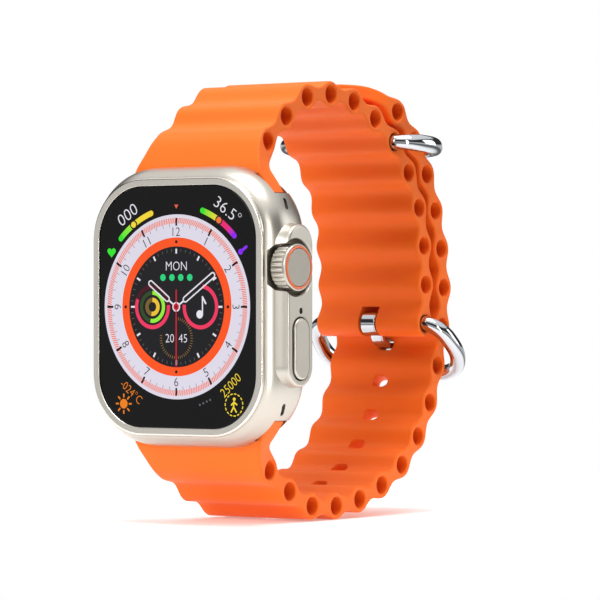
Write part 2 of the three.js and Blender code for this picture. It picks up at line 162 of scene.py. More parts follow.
def place_camera():
    """Level camera, VIEW_DISTANCE in front of the dial and VIEW_SIDESTEP to its right."""
    right = Vector((math.cos(VIEW_TURN), math.sin(VIEW_TURN), 0))
    back = Vector((math.sin(VIEW_TURN), -math.cos(VIEW_TURN), 0))
    data = bpy.data.cameras.new("camera")
    data.lens = 222
    data.sensor_width = 36
    data.shift_y = 0.0114
    data.clip_start = 0.01
    camera = bpy.data.objects.new("camera", data)
    bpy.context.collection.objects.link(camera)
    camera.location = Vector((0, DIAL_Y, 0)) + right * VIEW_SIDESTEP + back * VIEW_DISTANCE
    camera.rotation_euler = (math.pi / 2, 0, VIEW_TURN)
    bpy.context.scene.camera = camera


def soft_box(name, place, size, power, colour=(1, 1, 1), only_gloss=False):
    """A rectangular light at place, turned to the middle of the watch."""
    data = bpy.data.lights.new(name, "AREA")
    data.shape = "RECTANGLE"
    data.size, data.size_y = size
    data.energy = power
    data.color = colour
    light = bpy.data.objects.new(name, data)
    bpy.context.collection.objects.link(light)
    light.location = place
    aim = Vector((0, 0.01, 0)) - Vector(place)
    light.rotation_euler = aim.to_track_quat("-Z", "Y").to_euler()
    light.visible_camera = False
    light.visible_diffuse = not only_gloss


def studio_world():
    """White behind the watch. In reflections: bright overhead, a dark belt above the horizon."""
    world = bpy.data.worlds.new("studio")
    bpy.context.scene.world = world
    world.use_nodes = True
    signal = Signal(world.node_tree)
    direction = signal.node("ShaderNodeTexCoord", output="Generated")
    height = direction.node("ShaderNodeSeparateXYZ", {}, {0: direction}, 2)
    belt = height.node(
        "ShaderNodeValToRGB", {}, {0: height * 0.5 + 0.5},
        stops=[
            (0.0, (0.60, 0.60, 0.60, 1)), (0.40, (0.12, 0.12, 0.12, 1)),
            (0.46, (0.62, 0.62, 0.61, 1)), (0.54, (0.70, 0.70, 0.69, 1)),
            (0.57, (0.04, 0.04, 0.04, 1)), (0.76, (0.05, 0.05, 0.05, 1)),
            (0.80, (0.95, 0.95, 0.95, 1)), (1.0, (1.1, 1.1, 1.1, 1)),
        ])
    seen = signal.node("ShaderNodeLightPath", output="Is Camera Ray")
    signal.feed(world.node_tree.nodes["Background"].inputs["Color"],
                seen.blend(belt, (1.0, 1.0, 1.0, 1.0)))


def sweep_floor(level):
    """A disc of rings that fades out, so that no horizon cuts the pale background."""
    radius = np.linspace(0, FLOOR_FADE[1], 24)[1:, None]
    turn = np.linspace(0, 2 * math.pi, 97)[None, :-1]
    ring = np.stack(np.broadcast_arrays(
        radius * np.cos(turn), FLOOR_CENTRE + radius * np.sin(turn), level), axis=-1)
    floor = surface("floor", ring, caps=False, centre=True)
    paper = Finish("floor_paper", Roughness=0.9, Specular_IOR_Level=0.1, Emission_Strength=0.25,
                   Emission_Color=(1.0, 1.0, 1.0, 1.0))
    x, y = (paper.place.node("ShaderNodeSeparateXYZ", {}, {0: paper.place}, i) for i in (0, 1))
    y = y - FLOOR_CENTRE
    distance = (x * x + y * y).root()
    paper.vary("Alpha", 1 - distance.ease(*FLOOR_FADE))
    grain = paper.place.noise(2 * MM)
    paper.vary("Base Color", grain.blend((0.90, 0.90, 0.90, 1), (0.94, 0.94, 0.94, 1)))
    floor.data.materials.append(paper.material)


def surface(name, points, caps=True, wrap=False, centre=False):
    """A mesh over points[row, column]: each row is a closed ring, joined to the next row.
    The two end rings are capped, or joined to each other (wrap), or the first to its middle."""
    rows, columns = points.shape[:2]
    number = np.arange(rows * columns).reshape(rows, columns)
    near = number if wrap else number[:-1]
    far = np.roll(number, -1, axis=0) if wrap else number[1:]
    quads = np.stack([near, np.roll(near, -1, axis=1), np.roll(far, -1, axis=1), far], axis=-1)
    faces = quads.reshape(-1, 4).tolist()
    vertices = points.reshape(-1, 3)
    if centre:
        hub = len(vertices)
        vertices = np.vstack([vertices, points[0].mean(axis=0)])
        spokes = np.stack([np.full(columns, hub), number[0], np.roll(number[0], -1)], axis=-1)
        faces += spokes.tolist()
    elif caps and not wrap:
        faces += [number[0].tolist(), number[-1].tolist()]
    return solid_piece(name, vertices, faces)


def solid_piece(name, vertices, faces):
    """The mesh as an object, with its faces turned outwards."""
    mesh = bpy.data.meshes.new(name)
    mesh.from_pydata(vertices.tolist(), [], faces)
    work = bmesh.new()
    work.from_mesh(mesh)
    bmesh.ops.remove_doubles(work, verts=work.verts, dist=1e-7)
    bmesh.ops.recalc_face_normals(work, faces=work.faces)
    work.to_mesh(mesh)
    work.free()
    piece = bpy.data.objects.new(name, mesh)
    bpy.context.collection.objects.link(piece)
    return piece


place_camera()
bpy.context.scene.view_settings.view_transform = "Standard"
studio_world()
sweep_floor(cad_box[0][2] - 0.1 * MM)
soft_box("front_box", (-0.15, -0.70, 0.28), (0.4, 0.35), 2.5)
soft_box("side_strip", (0.66, -0.44, 0.05), (0.07, 0.7), 2.0, (1, 0.98, 0.95), only_gloss=True)
soft_box("overhead_box", (0.10, -0.05, 0.80), (0.5, 0.5), 4.8)
soft_box("right_box", (0.60, 0.62, 0.25), (0.35, 0.4), 1.1)

# ---- Case ------------------------------------------------------------------------------------
# One milled titanium shell, bead-blasted to a warm satin, with a polished rim round the glass.
# A raised guard on three o'clock's side shields the crown and holds the side button.

BODY_SECTIONS = [  # y, half width, half height and corner radius, from under the rim to the back
    (-13.55, 18.80, 22.55, 11.00), (-13.2, 19.20, 22.95, 11.35), (-12.4, 19.85, 23.55, 11.9),
    (-11.0, 20.45, 24.15, 12.50), (-8.5, 20.75, 24.50, 13.00), (-5.0, 20.40, 24.20, 12.80),
    (-3.0, 19.00, 22.80, 11.60), (-2.0, 17.50, 21.30, 10.40),
]
RIM = {"front": -14.4, "back": -12.2, "half": (18.7, 22.45), "corner": 10.9, "edge": 0.32}
SEAT = {"half": (17.35, 21.35), "corner": 9.6, "floor": -12.4}
GUARD = {"x": 22.5, "y": -8.35, "z": 0.2, "length": 28, "width": 7.2}
CROWN = {"y": -9.6, "z": 6.75, "radius": 4.05, "floor": 19, "pocket": 4.75}
BUTTON = {"y": -8.35, "z": -7.2, "length": 10.6, "width": 4.2, "floor": 20.6}
CHANNEL = {"y": -6.6, "floor": 19.6, "shoulder": 23.1, "foot": 3.1, "mouth": 2.15}
COVER = {"half": (16.2, 18.7), "corner": 9.0, "window": 12.0}
VENT = {"y": -8.6, "z": 17.7, "half_width": 0.4, "half_height": 1.1, "lean": 0.35}
SCREW = {"x": 12.5, "z": 15.2, "head": 1.0}


def outline(half_width, half_height, corner, arc=20, straight=6):
    """Rounded rectangles, one a row: x = a (w - r) + r cos(turn), y = b (h - r) + r sin(turn).
    a and b are 1 or -1 at the four corners and run between them on the straights."""
    quarter = np.linspace(0, math.pi / 2, arc)
    corners = np.array([(1, 1), (-1, 1), (-1, -1), (1, -1)])
    share, turn = [], []
    for number in range(4):
        share.append(np.repeat(corners[number][None], arc, axis=0))
        turn.append(quarter + number * math.pi / 2)
        step = np.linspace(0, 1, straight + 1)[1:-1, None]
        share.append(corners[number] * (1 - step) + corners[(number + 1) % 4] * step)
        turn.append(np.full(straight - 1, (number + 1) * math.pi / 2))
    share, turn = np.concatenate(share), np.concatenate(turn)
    sizes = (half_width, half_height, corner)
    w, h, r = (np.atleast_1d(np.asarray(size, float))[:, None] for size in sizes)
    return np.stack([share[:, 0] * (w - r) + r * np.cos(turn),
                     share[:, 1] * (h - r) + r * np.sin(turn)], axis=-1)


def along_y(ring, y):
    """Rings drawn in X and Z, one at each y."""
    depth = np.broadcast_to(np.asarray(y, float)[:, None], ring.shape[:2])
    return np.stack([ring[..., 0], depth, ring[..., 1]], axis=-1)


def along_x(ring, x, y=0.0, z=0.0):
    """Rings drawn in Y and Z round the line through (y, z), one at each x."""
    depth = np.broadcast_to(np.asarray(x, float)[:, None], ring.shape[:2])
    return np.stack([depth, ring[..., 0] + y, ring[..., 1] + z], axis=-1)


def eased(low, high, low_edge, high_edge, steps=5):
    """Stations from low to high and the inset at each: a quarter round at either end.
    A negative edge flares outwards, as the mouth of a countersunk hole does."""
    turn = np.linspace(0, math.pi / 2, steps + 1)
    inset = 1 - np.sin(turn)
    low_rise = np.sin(turn) if low_edge < 0 else 1 - np.cos(turn)
    high_rise = np.sin(turn) if high_edge < 0 else 1 - np.cos(turn)
    stations = [low + abs(low_edge) * low_rise, high - abs(high_edge) * high_rise[::-1]]
    insets = [low_edge * inset, high_edge * inset[::-1]]
    return np.concatenate(stations), np.concatenate(insets)


def block(name, half, corner, low, high, edges=(0, 0), axis="y", centre=(0, 0), arc=20, straight=6):
    """A rounded rectangle carried from low to high along an axis, in millimetres, closed."""
    at, inset = eased(low, high, *edges) if any(edges) else (np.array([low, high]), np.zeros(2))
    ring = outline(half[0] - inset, half[1] - inset, corner - inset, arc, straight)
    if axis == "y":
        points = along_y(ring, at) + np.array([centre[0], 0, centre[1]])
    else:
        points = along_x(ring, at, *centre)
    return surface(name, points * MM)


def turned(name, profile, axis="x", centre=(0, 0), columns=96, wrap=False, swell=None):
    """A profile of (place along the axis, radius) turned round the line through centre.
    wrap closes the profile on itself; swell multiplies the radius at each angle of the turn."""
    profile = np.asarray(profile, float)
    turn = np.linspace(0, 2 * math.pi, columns + 1)[:-1]
    radius = profile[:, 1:2] * (np.ones(columns) if swell is None else swell(turn, profile))
    ring = np.stack([radius * np.cos(turn), radius * np.sin(turn)], axis=-1)
    if axis == "y":
        points = along_y(ring, profile[:, 0]) + np.array([centre[0], 0, centre[1]])
    else:
        points = along_x(ring, profile[:, 0], *centre)
    return surface(name, points * MM, wrap=wrap)


def combine(piece, operation, *tools):
    """Cuts or joins closed pieces with an exact boolean, and removes the tools."""
    for tool in tools:
        step = piece.modifiers.new("combine", "BOOLEAN")
        step.solver = "MANIFOLD"
        step.operation = operation
        step.object = tool
        bpy.context.view_layer.objects.active = piece
        bpy.ops.object.modifier_apply(modifier=step.name)
        bpy.data.objects.remove(tool)
    return piece


def smooth(piece, degrees=32):
    """Smooth shading with creases kept, and large faces kept flat beside small roundings."""
    piece.data.polygons.foreach_set("use_smooth", np.ones(len(piece.data.polygons), bool))
    piece.data.set_sharp_from_angle(angle=math.radians(degrees))
    weigh = piece.modifiers.new("weigh", "WEIGHTED_NORMAL")
    weigh.keep_sharp = True
    weigh.weight = 60
    bpy.context.view_layer.objects.active = piece
    bpy.ops.object.modifier_apply(modifier=weigh.name)
    return piece


def keep(piece, finish, body, slot, *nodes):
    """Gives a finished piece its material and its body, and hides the CAD nodes that it stands for. slot
    is not used.
    """
    piece.data.materials.clear()
    piece.data.materials.append(finish.material)
    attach(piece, body)
    if nodes:
        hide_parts(*nodes)
    return piece


def dress(finish, *nodes):
    """Puts a finish on CAD nodes that stay as they are."""
    for node in nodes:
        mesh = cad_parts[node].data
        mesh.materials.clear()
        mesh.materials.append(finish.material)


def curve_through(rows, count):
    """A centripetal Catmull-Rom curve through rows of numbers, count samples to a stretch."""
    rows = np.asarray(rows, float)
    held = np.vstack([2 * rows[0] - rows[1], rows, 2 * rows[-1] - rows[-2]])
    p0, p1, p2, p3 = (held[i:len(held) - 3 + i] for i in range(4))
    gap = np.sqrt(np.linalg.norm(np.diff(held, axis=0), axis=1))[:, None]
    d0, d1, d2 = gap[:-2], gap[1:-1], gap[2:]
    out = d1 * ((p1 - p0) / d0 - (p2 - p0) / (d0 + d1) + (p2 - p1) / d1)
    into = d1 * ((p2 - p1) / d1 - (p3 - p1) / (d1 + d2) + (p3 - p2) / d2)
    t = np.linspace(0, 1, count + 1)[None, :-1, None]
    p1, p2, out, into = (part[:, None] for part in (p1, p2, out, into))
    points = p1 + out * t + (3 * (p2 - p1) - 2 * out - into) * t**2
    points += (2 * (p1 - p2) + out + into) * t**3
    return np.vstack([points.reshape(-1, rows.shape[1]), rows[-1]])


def satin_titanium():
    """Fine blasted grain, faint machining clouds, and a warm tint that drifts a little."""
    metal = Finish("satin_titanium", Metallic=1.0)
    cloud = metal.place.noise(9 * MM, 3)
    grain = metal.place.noise(0.09 * MM, 2)
    metal.vary("Base Color", cloud.blend(linear(193, 188, 178), linear(203, 198, 188)))
    metal.vary("Roughness", 0.30 + 0.10 * grain)
    metal.bump(grain, 0.0016 * MM)
    return metal


def polished_titanium():
    """Bright, nearly mirror-like, with hair scratches that run round the rim."""
    metal = Finish("polished_titanium", Metallic=1.0)
    hair = metal.place.noise(0.4 * MM, 4)
    metal.vary("Base Color", hair.blend(linear(226, 221, 212), linear(234, 229, 221)))
    metal.vary("Roughness", 0.14 + 0.08 * hair)
    return metal


def signed(sign, low, high):
    return sorted((sign * low, sign * high))


def middle(low, high):
    return (low + high) / 2, (high - low) / 2


def slab(name, x, y, z):
    """A plain block between limits, used only to cut."""
    (cx, hx), (cz, hz) = middle(*x), middle(*z)
    return block(name, (hx, hz), 0.05, *y, centre=(cx, cz), arc=2, straight=1)


def body_shell():
    """The body's loft and guard, less the seats, channels and openings that are milled in."""
    sections = curve_through(BODY_SECTIONS, 7)
    ring = outline(sections[:, 1], sections[:, 2], sections[:, 3], 28, 8)
    shell = surface("case_body", along_y(ring, sections[:, 0]) * MM)

    # The guard: inset d of its outline against height x, a rounded crest and a hollow flank.
    crest = np.linspace(0, math.pi / 2, 7)
    flank = np.linspace(0, 1, 10)[1:]
    x = np.concatenate([GUARD["x"] - 0.5 * (1 - np.cos(crest)), GUARD["x"] - 0.5 - 4.0 * flank])
    inset = np.concatenate([0.5 * (1 - np.sin(crest)), -1.5 * flank**2.2])
    half = (GUARD["width"] / 2 - inset, GUARD["length"] / 2 - inset)
    ring = outline(*half, GUARD["width"] / 2 - inset, 22, 8)
    guard = surface("guard", along_x(ring, x, GUARD["y"], GUARD["z"]) * MM)
    combine(shell, "UNION", guard)

    cavity = [
        block("seat", SEAT["half"], SEAT["corner"], -15.4, SEAT["floor"]),
        block("well", (15.9, 19.6), 8.4, -13, -11.2),
        block("cavity", (17.3, 18.4), 9, -11.7, -5),
        block("back_hole", (14.6, 17.2), 11, -5.5, -2),
        block("cover_seat", (16.4, 18.9), 9, -3.5, -1),
    ]
    combine(shell, "DIFFERENCE", *cavity)
    c = CHANNEL
    for sign in (1, -1):
        foot = signed(sign, c["floor"], c["shoulder"])
        mouth = signed(sign, c["floor"], 26)
        combine(
            shell, "DIFFERENCE",
            slab("foot", (-24, 24), (c["y"] - c["foot"], c["y"] + c["foot"]), foot),
            slab("mouth", (-24, 24), (c["y"] - c["mouth"], c["y"] + c["mouth"]), mouth),
            block("release_hole", (3.7, 1.0), 1.0, -4, -1, centre=(0, sign * 20.7)),
            slanted_vent(sign))
    crown, button = (CROWN["y"], CROWN["z"]), (BUTTON["y"], BUTTON["z"])
    pocket = (BUTTON["width"] / 2 + 0.25, BUTTON["length"] / 2 + 0.25)
    combine(
        shell, "DIFFERENCE",
        turned("crown_bore", [(15, 2), (20, 2)], centre=crown),
        turned("crown_pocket", [(CROWN["floor"], CROWN["pocket"]), (21.9, CROWN["pocket"]),
                                (22.35, CROWN["pocket"] + 0.2), (25, CROWN["pocket"] + 2.6)],
               centre=crown),
        block("button_pocket", pocket, pocket[0], BUTTON["floor"], 25, axis="x", centre=button),
        block("button_lip", (pocket[0] + 0.18, pocket[1] + 0.18), pocket[0] + 0.18,
              GUARD["x"] - 0.14, 25, axis="x", centre=button),
        turned("shaft_hole", [(15, 1.3), (22, 1.3)], centre=button, columns=32),
        block("microphone_hole", (0.45, 0.55), 0.45, 15, 25, axis="x", centre=(GUARD["y"], -0.7)))
    for z in (-12, -8, -4):
        combine(shell, "DIFFERENCE",
                block("speaker_outlet", (0.5, 1.3), 0.5, -24, -15, axis="x", centre=(GUARD["y"], z)))
    for i, k in ((1, 1), (-1, 1), (-1, -1), (1, -1)):
        combine(shell, "DIFFERENCE", turned("screw_hole", [(-6.5, 0.8), (-2, 0.8)], axis="y",
                                            centre=(i * SCREW["x"], k * SCREW["z"]), columns=24))
    return smooth(shell)


def slanted_vent(sign):
    """A narrow slot in the case's right side near a corner, leaning with the corner's turn."""
    ring = outline([VENT["half_width"]] * 2, [VENT["half_height"]] * 2, [VENT["half_width"]] * 2, 8, 3)
    points = along_x(ring, [16.5, 24.0])
    lean = -sign * VENT["lean"]
    y, z = points[..., 1].copy(), points[..., 2].copy()
    points[..., 1] = y * math.cos(lean) - z * math.sin(lean) + VENT["y"] + sign * 0.4
    points[..., 2] = y * math.sin(lean) + z * math.cos(lean) + sign * VENT["z"]
    return surface("vent", points * MM)


def glass_rim():
    """A ring: its profile of (inset from the rim's outside, y) closes on itself round the glass."""
    r = RIM
    turn = np.linspace(0, math.pi / 2, 6)
    outer = np.stack([r["edge"] * (1 - np.sin(turn)), r["front"] + r["edge"] * (1 - np.cos(turn))], 1)
    width = r["half"][0] - SEAT["half"][0]
    inner = np.stack([width - 0.12 * (1 - np.sin(turn)), r["front"] + 0.12 * (1 - np.cos(turn))], 1)
    profile = np.vstack([[(0, r["back"])], outer[::-1], inner, [(width, r["back"])]])
    d, y = profile[:, 0], profile[:, 1]
    ring = outline(r["half"][0] - d, r["half"][1] - d, r["corner"] - d, 30, 8)
    return smooth(surface("glass_rim", along_y(ring, y) * MM, wrap=True))


TITANIUM_SATIN = satin_titanium()
TITANIUM_POLISHED = polished_titanium()
keep(body_shell(), TITANIUM_SATIN, "case", "titanium", "case_shell")
keep(glass_rim(), TITANIUM_POLISHED, "case", "titanium")

# ---- Front crystal ---------------------------------------------------------------------------
# A flat sapphire plate, printed black behind, with a small ground round along its edge. It is
# bonded into the seat of the rim, a hair below the rim's own face.

CRYSTAL_FACE = -14.3


def crystal_glass():
    glass = Finish("black_crystal", Specular_IOR_Level=0.15, IOR=1.5)
    smear = glass.place.noise(14 * MM, 2)
    glass.vary("Base Color", smear.blend((0.0040, 0.0041, 0.0045, 1), (0.0050, 0.0050, 0.0056, 1)))
    glass.vary("Roughness", 0.04 + 0.05 * smear)
    return glass


crystal = block("crystal_plate", (17.2, 21.2), 9.45, CRYSTAL_FACE, -13, edges=(0.28, 0.1), arc=30)
keep(smooth(crystal, 40), crystal_glass(), "case", "glass", "front_crystal")

# ---- Dial ------------------------------------------------------------------------------------
# The lit screen under the crystal shows a sports face: an hour ring, two small dials, the day,
# the time and corner gauges. Each group is a thin layer of coloured ink on the screen's face.

INK_WHITE = linear(236, 232, 242)
INK_RING = linear(226, 221, 236)
INK_ORANGE = linear(255, 87, 34)
INK_BLACK = linear(22, 20, 24)
INK_DARK = linear(30, 30, 33)
INK_CRIMSON = linear(240, 58, 98)
INK_GREEN = linear(44, 214, 130)
INK_YELLOW = linear(250, 220, 60)
INK_LIME = linear(150, 240, 60)
INK_GOLD = linear(150, 112, 56)
INK_RED = linear(206, 34, 56)
INK_GREY = linear(100, 100, 108)
INK_AMBER = linear(240, 130, 30)
LAYER = 0.012  # each layer of ink stands this far in front of the one below


def polar(radius, degrees, centre=(0, 0)):
    """The point at radius from centre and so many degrees clockwise from twelve."""
    turn = np.radians(degrees)
    return np.stack(np.broadcast_arrays(centre[0] + radius * np.sin(turn),
                                        centre[1] + radius * np.cos(turn)), axis=-1)


def band_ink(inner, outer, start, end, colours, centre=(0, 0), steps=None):
    """A stretch of ring from start to end degrees; colours are one, or several in turn."""
    steps = steps or max(2, int(abs(end - start) / 3))
    turn = np.linspace(start, end, steps + 1)
    points = np.concatenate([polar(inner, turn, centre), polar(outer, turn, centre)])
    low = np.arange(steps)
    faces = np.stack([low, low + 1, low + steps + 2, low + steps + 1], axis=-1)
    colours = np.atleast_2d(colours)
    share = (np.arange(steps) + 0.5) / steps * (len(colours) - 1)
    tint = np.stack([np.interp(share, np.arange(len(colours)), colours[:, c]) for c in range(4)], 1)
    return points, faces.tolist(), tint


def dot_ink(x, z, radius, colour, sides=28):
    points = polar(radius, np.linspace(0, 360, sides + 1)[:-1], (x, z))
    return points, [list(range(sides))], np.array([colour])


def bar_ink(start, end, width, colour, rounded=True):
    """A straight bar from start to end, square or round at its ends."""
    start, end = np.array(start, float), np.array(end, float)
    run = (end - start) / np.linalg.norm(end - start)
    side = np.array([-run[1], run[0]])
    turn = np.linspace(-math.pi / 2, math.pi / 2, 9 if rounded else 2)[:, None]
    bow = np.cos(turn) * run * (1 if rounded else 0)
    head = end + (bow + np.sin(turn) * side) * width / 2
    tail = start + (-bow - np.sin(turn) * side) * width / 2
    points = np.vstack([head, tail])
    return points, [list(range(len(points)))], np.array([colour])


def hollow_bar_ink(start, end, width, wall, colour):
    """A round-ended bar with an open middle, as a ring of quads between two outlines."""
    outer = bar_ink(start, end, width, colour)[0]
    inner = bar_ink(start, end, width - 2 * wall, colour)[0]
    count = len(outer)
    low = np.arange(count)
    after = np.roll(low, -1)
    faces = np.stack([low, after, after + count, low + count], axis=-1).tolist()
    return np.vstack([outer, inner]), faces, np.repeat([colour], count, axis=0)


def tick_ink(count, inner, outer, width, colour, skip=0):
    """count square bars round the dial; skip leaves out every skip-th one."""
    return [bar_ink(polar(inner, 360 * i / count), polar(outer, 360 * i / count), width, colour, False)
            for i in range(count) if not (skip and i % skip == 0)]


def text_ink(text, place, height, colour, turn=0.0, width=None):
    """Lettering of that height in millimetres, centred on place and turned clockwise."""
    curve = bpy.data.curves.new("lettering", "FONT")
    curve.body = text
    curve.resolution_u = 3
    curve.offset = -0.012
    holder = bpy.data.objects.new("lettering", curve)
    mesh = bpy.data.meshes.new_from_object(holder)
    flat = np.zeros(len(mesh.vertices) * 3)
    mesh.vertices.foreach_get("co", flat)
    flat = flat.reshape(-1, 3)[:, :2]
    faces = [list(face.vertices) for face in mesh.polygons]
    bpy.data.objects.remove(holder)
    bpy.data.meshes.remove(mesh)
    low, high = flat.min(axis=0), flat.max(axis=0)
    scale = np.full(2, height / (high[1] - low[1]))
    if width:
        scale[0] = width / (high[0] - low[0])
    flat = (flat - (low + high) / 2) * scale
    turn = math.radians(turn)
    x = flat[:, 0] * math.cos(turn) + flat[:, 1] * math.sin(turn) + place[0]
    z = -flat[:, 0] * math.sin(turn) + flat[:, 1] * math.cos(turn) + place[1]
    return np.stack([x, z], axis=-1), faces, np.repeat([colour], len(faces), axis=0)


def screen_ink():
    """Colour from the ink attribute, lit from behind, under the same gloss as the crystal."""
    ink = Finish("screen_ink", Roughness=0.07, Specular_IOR_Level=0.15, Emission_Strength=0.78)
    tint = ink.place.node("ShaderNodeAttribute", {"attribute_name": "ink"}, output="Color")
    dim = ink.place.noise(30 * MM).ease(0.0, 1.0) * 0.06 + 0.12
    ink.vary("Emission Color", tint)
    ink.vary("Base Color", dim.blend((0, 0, 0, 1), tint))
    return ink


def print_dial(name, layer, items):
    """Joins flat inks to one thin piece, layer steps in front of the crystal's face."""
    points, faces, tints, offset = [], [], [], 0
    for flat, shape_faces, tint in items:
        points.append(flat)
        faces += [[corner + offset for corner in face] for face in shape_faces]
        tints.append(np.broadcast_to(tint, (len(shape_faces), 4)))
        offset += len(flat)
    flat = np.concatenate(points)
    depth = np.full(len(flat), CRYSTAL_FACE - LAYER * layer)
    mesh = bpy.data.meshes.new(name)
    mesh.from_pydata((np.stack([flat[:, 0], depth, flat[:, 1]], 1) * MM).tolist(), [], faces)
    tints = np.concatenate(tints)
    sides = np.array([len(face) for face in faces])
    colour = mesh.color_attributes.new("ink", "FLOAT_COLOR", "CORNER")
    colour.data.foreach_set("color", np.repeat(tints, sides, axis=0).astype(np.float32).ravel())
    facing = np.zeros(len(faces) * 3)
    mesh.polygons.foreach_get("normal", facing)
    turned_back = facing.reshape(-1, 3)[:, 1] > 0
    work = bmesh.new()
    work.from_mesh(mesh)
    work.faces.ensure_lookup_table()
    bmesh.ops.reverse_faces(work, faces=[work.faces[i] for i in np.flatnonzero(turned_back)])
    work.to_mesh(mesh)
    work.free()
    piece = bpy.data.objects.new(name, mesh)
    bpy.context.collection.objects.link(piece)
    thick = piece.modifiers.new("ink_thickness", "SOLIDIFY")
    thick.thickness = 0.008 * MM
    thick.offset = -1
    keep(piece, SCREEN_INK, "case", "glass")


SCREEN_INK = screen_ink()
print_dial("dial_hour_ring", 1, [
    band_ink(12.06, 16.07, 0, 360, INK_RING, steps=120),
    band_ink(10.5, 12.06, 0, 360, INK_ORANGE, steps=120),
    band_ink(0.0, 10.5, 0, 360, INK_DARK, steps=120),
])
print_dial("dial_hatched_track", 2, [  # a fine slanted hatch, with a minute tick under each fourth
    bar_ink(polar(14.5, 1.5 * i), polar(15.45, 1.5 * i + 1.2), 0.2, linear(246, 128, 104), False)
    for i in range(240)
] + tick_ink(60, 13.9, 14.5, 0.1, linear(150, 130, 135), skip=5))
pointer = np.array([(-0.45, 17.75), (0.45, 17.75), (0, 17.05)])
pointer_down = (pointer, [[0, 1, 2]], np.array([linear(240, 100, 70)]))
print_dial("dial_hour_marks", 3, tick_ink(12, 14.1, 15.45, 0.38, INK_BLACK) + [
    text_ink(str(hour), polar(13.05, 30 * hour), 1.5, INK_BLACK, 30 * hour - 180 * (3 < hour < 9))
    for hour in range(1, 13)
] + [dot_ink(*polar(11.3, 90 * i), 0.28, INK_BLACK) for i in range(4)]
  + tick_ink(12, 9.25, 10.1, 0.34, INK_WHITE) + tick_ink(60, 9.6, 10.1, 0.10, INK_GREY, skip=5)
  + [pointer_down])
left, right = (-5.3, 0), (5.3, 0)
TIME_AT = (0, -5.45)
print_dial("dial_small_dials", 2, [
    band_ink(3.2, 3.9, 85, 292, INK_CRIMSON, left, 60),
    band_ink(3.2, 3.9, 292, 445, linear(78, 18, 34), left, 40),
    band_ink(2.1, 2.8, 0, 190, INK_LIME, left, 50),
    band_ink(2.1, 2.8, 190, 360, linear(48, 74, 40), left, 50),
    band_ink(0.85, 1.6, 0, 190, linear(240, 196, 56), left, 40),
    band_ink(0.85, 1.6, 190, 360, linear(122, 98, 44), left, 40),
    band_ink(3.2, 3.9, 8, 276, INK_CRIMSON, right, 70),
    bar_ink((5.75, -1.2), (5.75, 1.75), 0.26, INK_WHITE),
    bar_ink((5.75, 1.7), (6.45, 0.6), 0.34, INK_WHITE),
    dot_ink(5.15, -1.3, 0.72, INK_WHITE),
])
print_dial("dial_readouts", 2, [
    text_ink("MON", (0, 7.1), 1.55, INK_WHITE, width=4.6),
    text_ink("20", (-1.45, TIME_AT[1]), 1.45, INK_WHITE, width=1.85),
    text_ink("45", (1.45, TIME_AT[1]), 1.45, INK_WHITE, width=1.85),
] + [dot_ink(x, 5.1, 0.6, INK_GREEN) for x in (-2.96, -0.97, 0.97, 2.96)]
  + [bar_ink(polar(3.15, 7.5 * i, TIME_AT), polar(3.65, 7.5 * i, TIME_AT), 0.11, INK_GOLD, False)
     for i in range(1, 38)])
print_dial("dial_hands", 4, [
    hollow_bar_ink((-2.0, 1.4), (-5.65, 4.1), 1.15, 0.24, INK_WHITE),
    bar_ink((0, 0), (-1.6, 1.1), 0.3, INK_WHITE),
    hollow_bar_ink((2.0, 1.3), (8.0, 5.45), 1.15, 0.24, INK_WHITE),
    bar_ink((0, 0), (1.6, 1.0), 0.3, INK_WHITE), dot_ink(0, 0, 0.85, INK_WHITE),
])
print_dial("dial_second_hand", 5, [
    bar_ink((0, 2.9), (0, -10.5), 0.26, INK_RED), dot_ink(0, 0, 0.62, INK_RED)])
print_dial("dial_centre_cap", 6, [dot_ink(0, 0, 0.26, linear(120, 20, 36))])


def heart_ink(x, z, size, colour):
    """Heart curve: x = 16 sin^3 t, z = 13 cos t - 5 cos 2t - 2 cos 3t - cos 4t."""
    t = np.linspace(0, 2 * math.pi, 33)[:-1]
    flat = np.stack([16 * np.sin(t) ** 3,
                     13 * np.cos(t) - 5 * np.cos(2 * t) - 2 * np.cos(3 * t) - np.cos(4 * t)], 1)
    return flat * size / 32 + np.array([x, z]), [list(range(32))], np.array([colour])


def sun_ink(x, z, radius, colour):
    rays = [bar_ink(polar(radius * 1.45, 45 * i, (x, z)), polar(radius * 1.95, 45 * i, (x, z)),
                    0.3, colour) for i in range(8)]
    return [dot_ink(x, z, radius, colour)] + rays


def walker_ink(x, z, colour):
    """A walking mark of five round bars and a dot, in a dashed ring."""
    limbs = [((0, 0.55), (-0.1, -0.35)), ((-0.1, -0.35), (0.5, -1.2)), ((-0.1, -0.35), (-0.6, -1.2)),
             ((0, 0.5), (0.6, 0.05)), ((0, 0.5), (-0.55, 0.0))]
    bars = [bar_ink((x + a[0], z + a[1]), (x + b[0], z + b[1]), 0.28, colour) for a, b in limbs]
    ring = [band_ink(1.8, 2.0, 24 * i, 24 * i + 15, colour, (x, z), 3) for i in range(15)]
    return bars + [dot_ink(x + 0.05, z + 1.0, 0.3, colour)] + ring


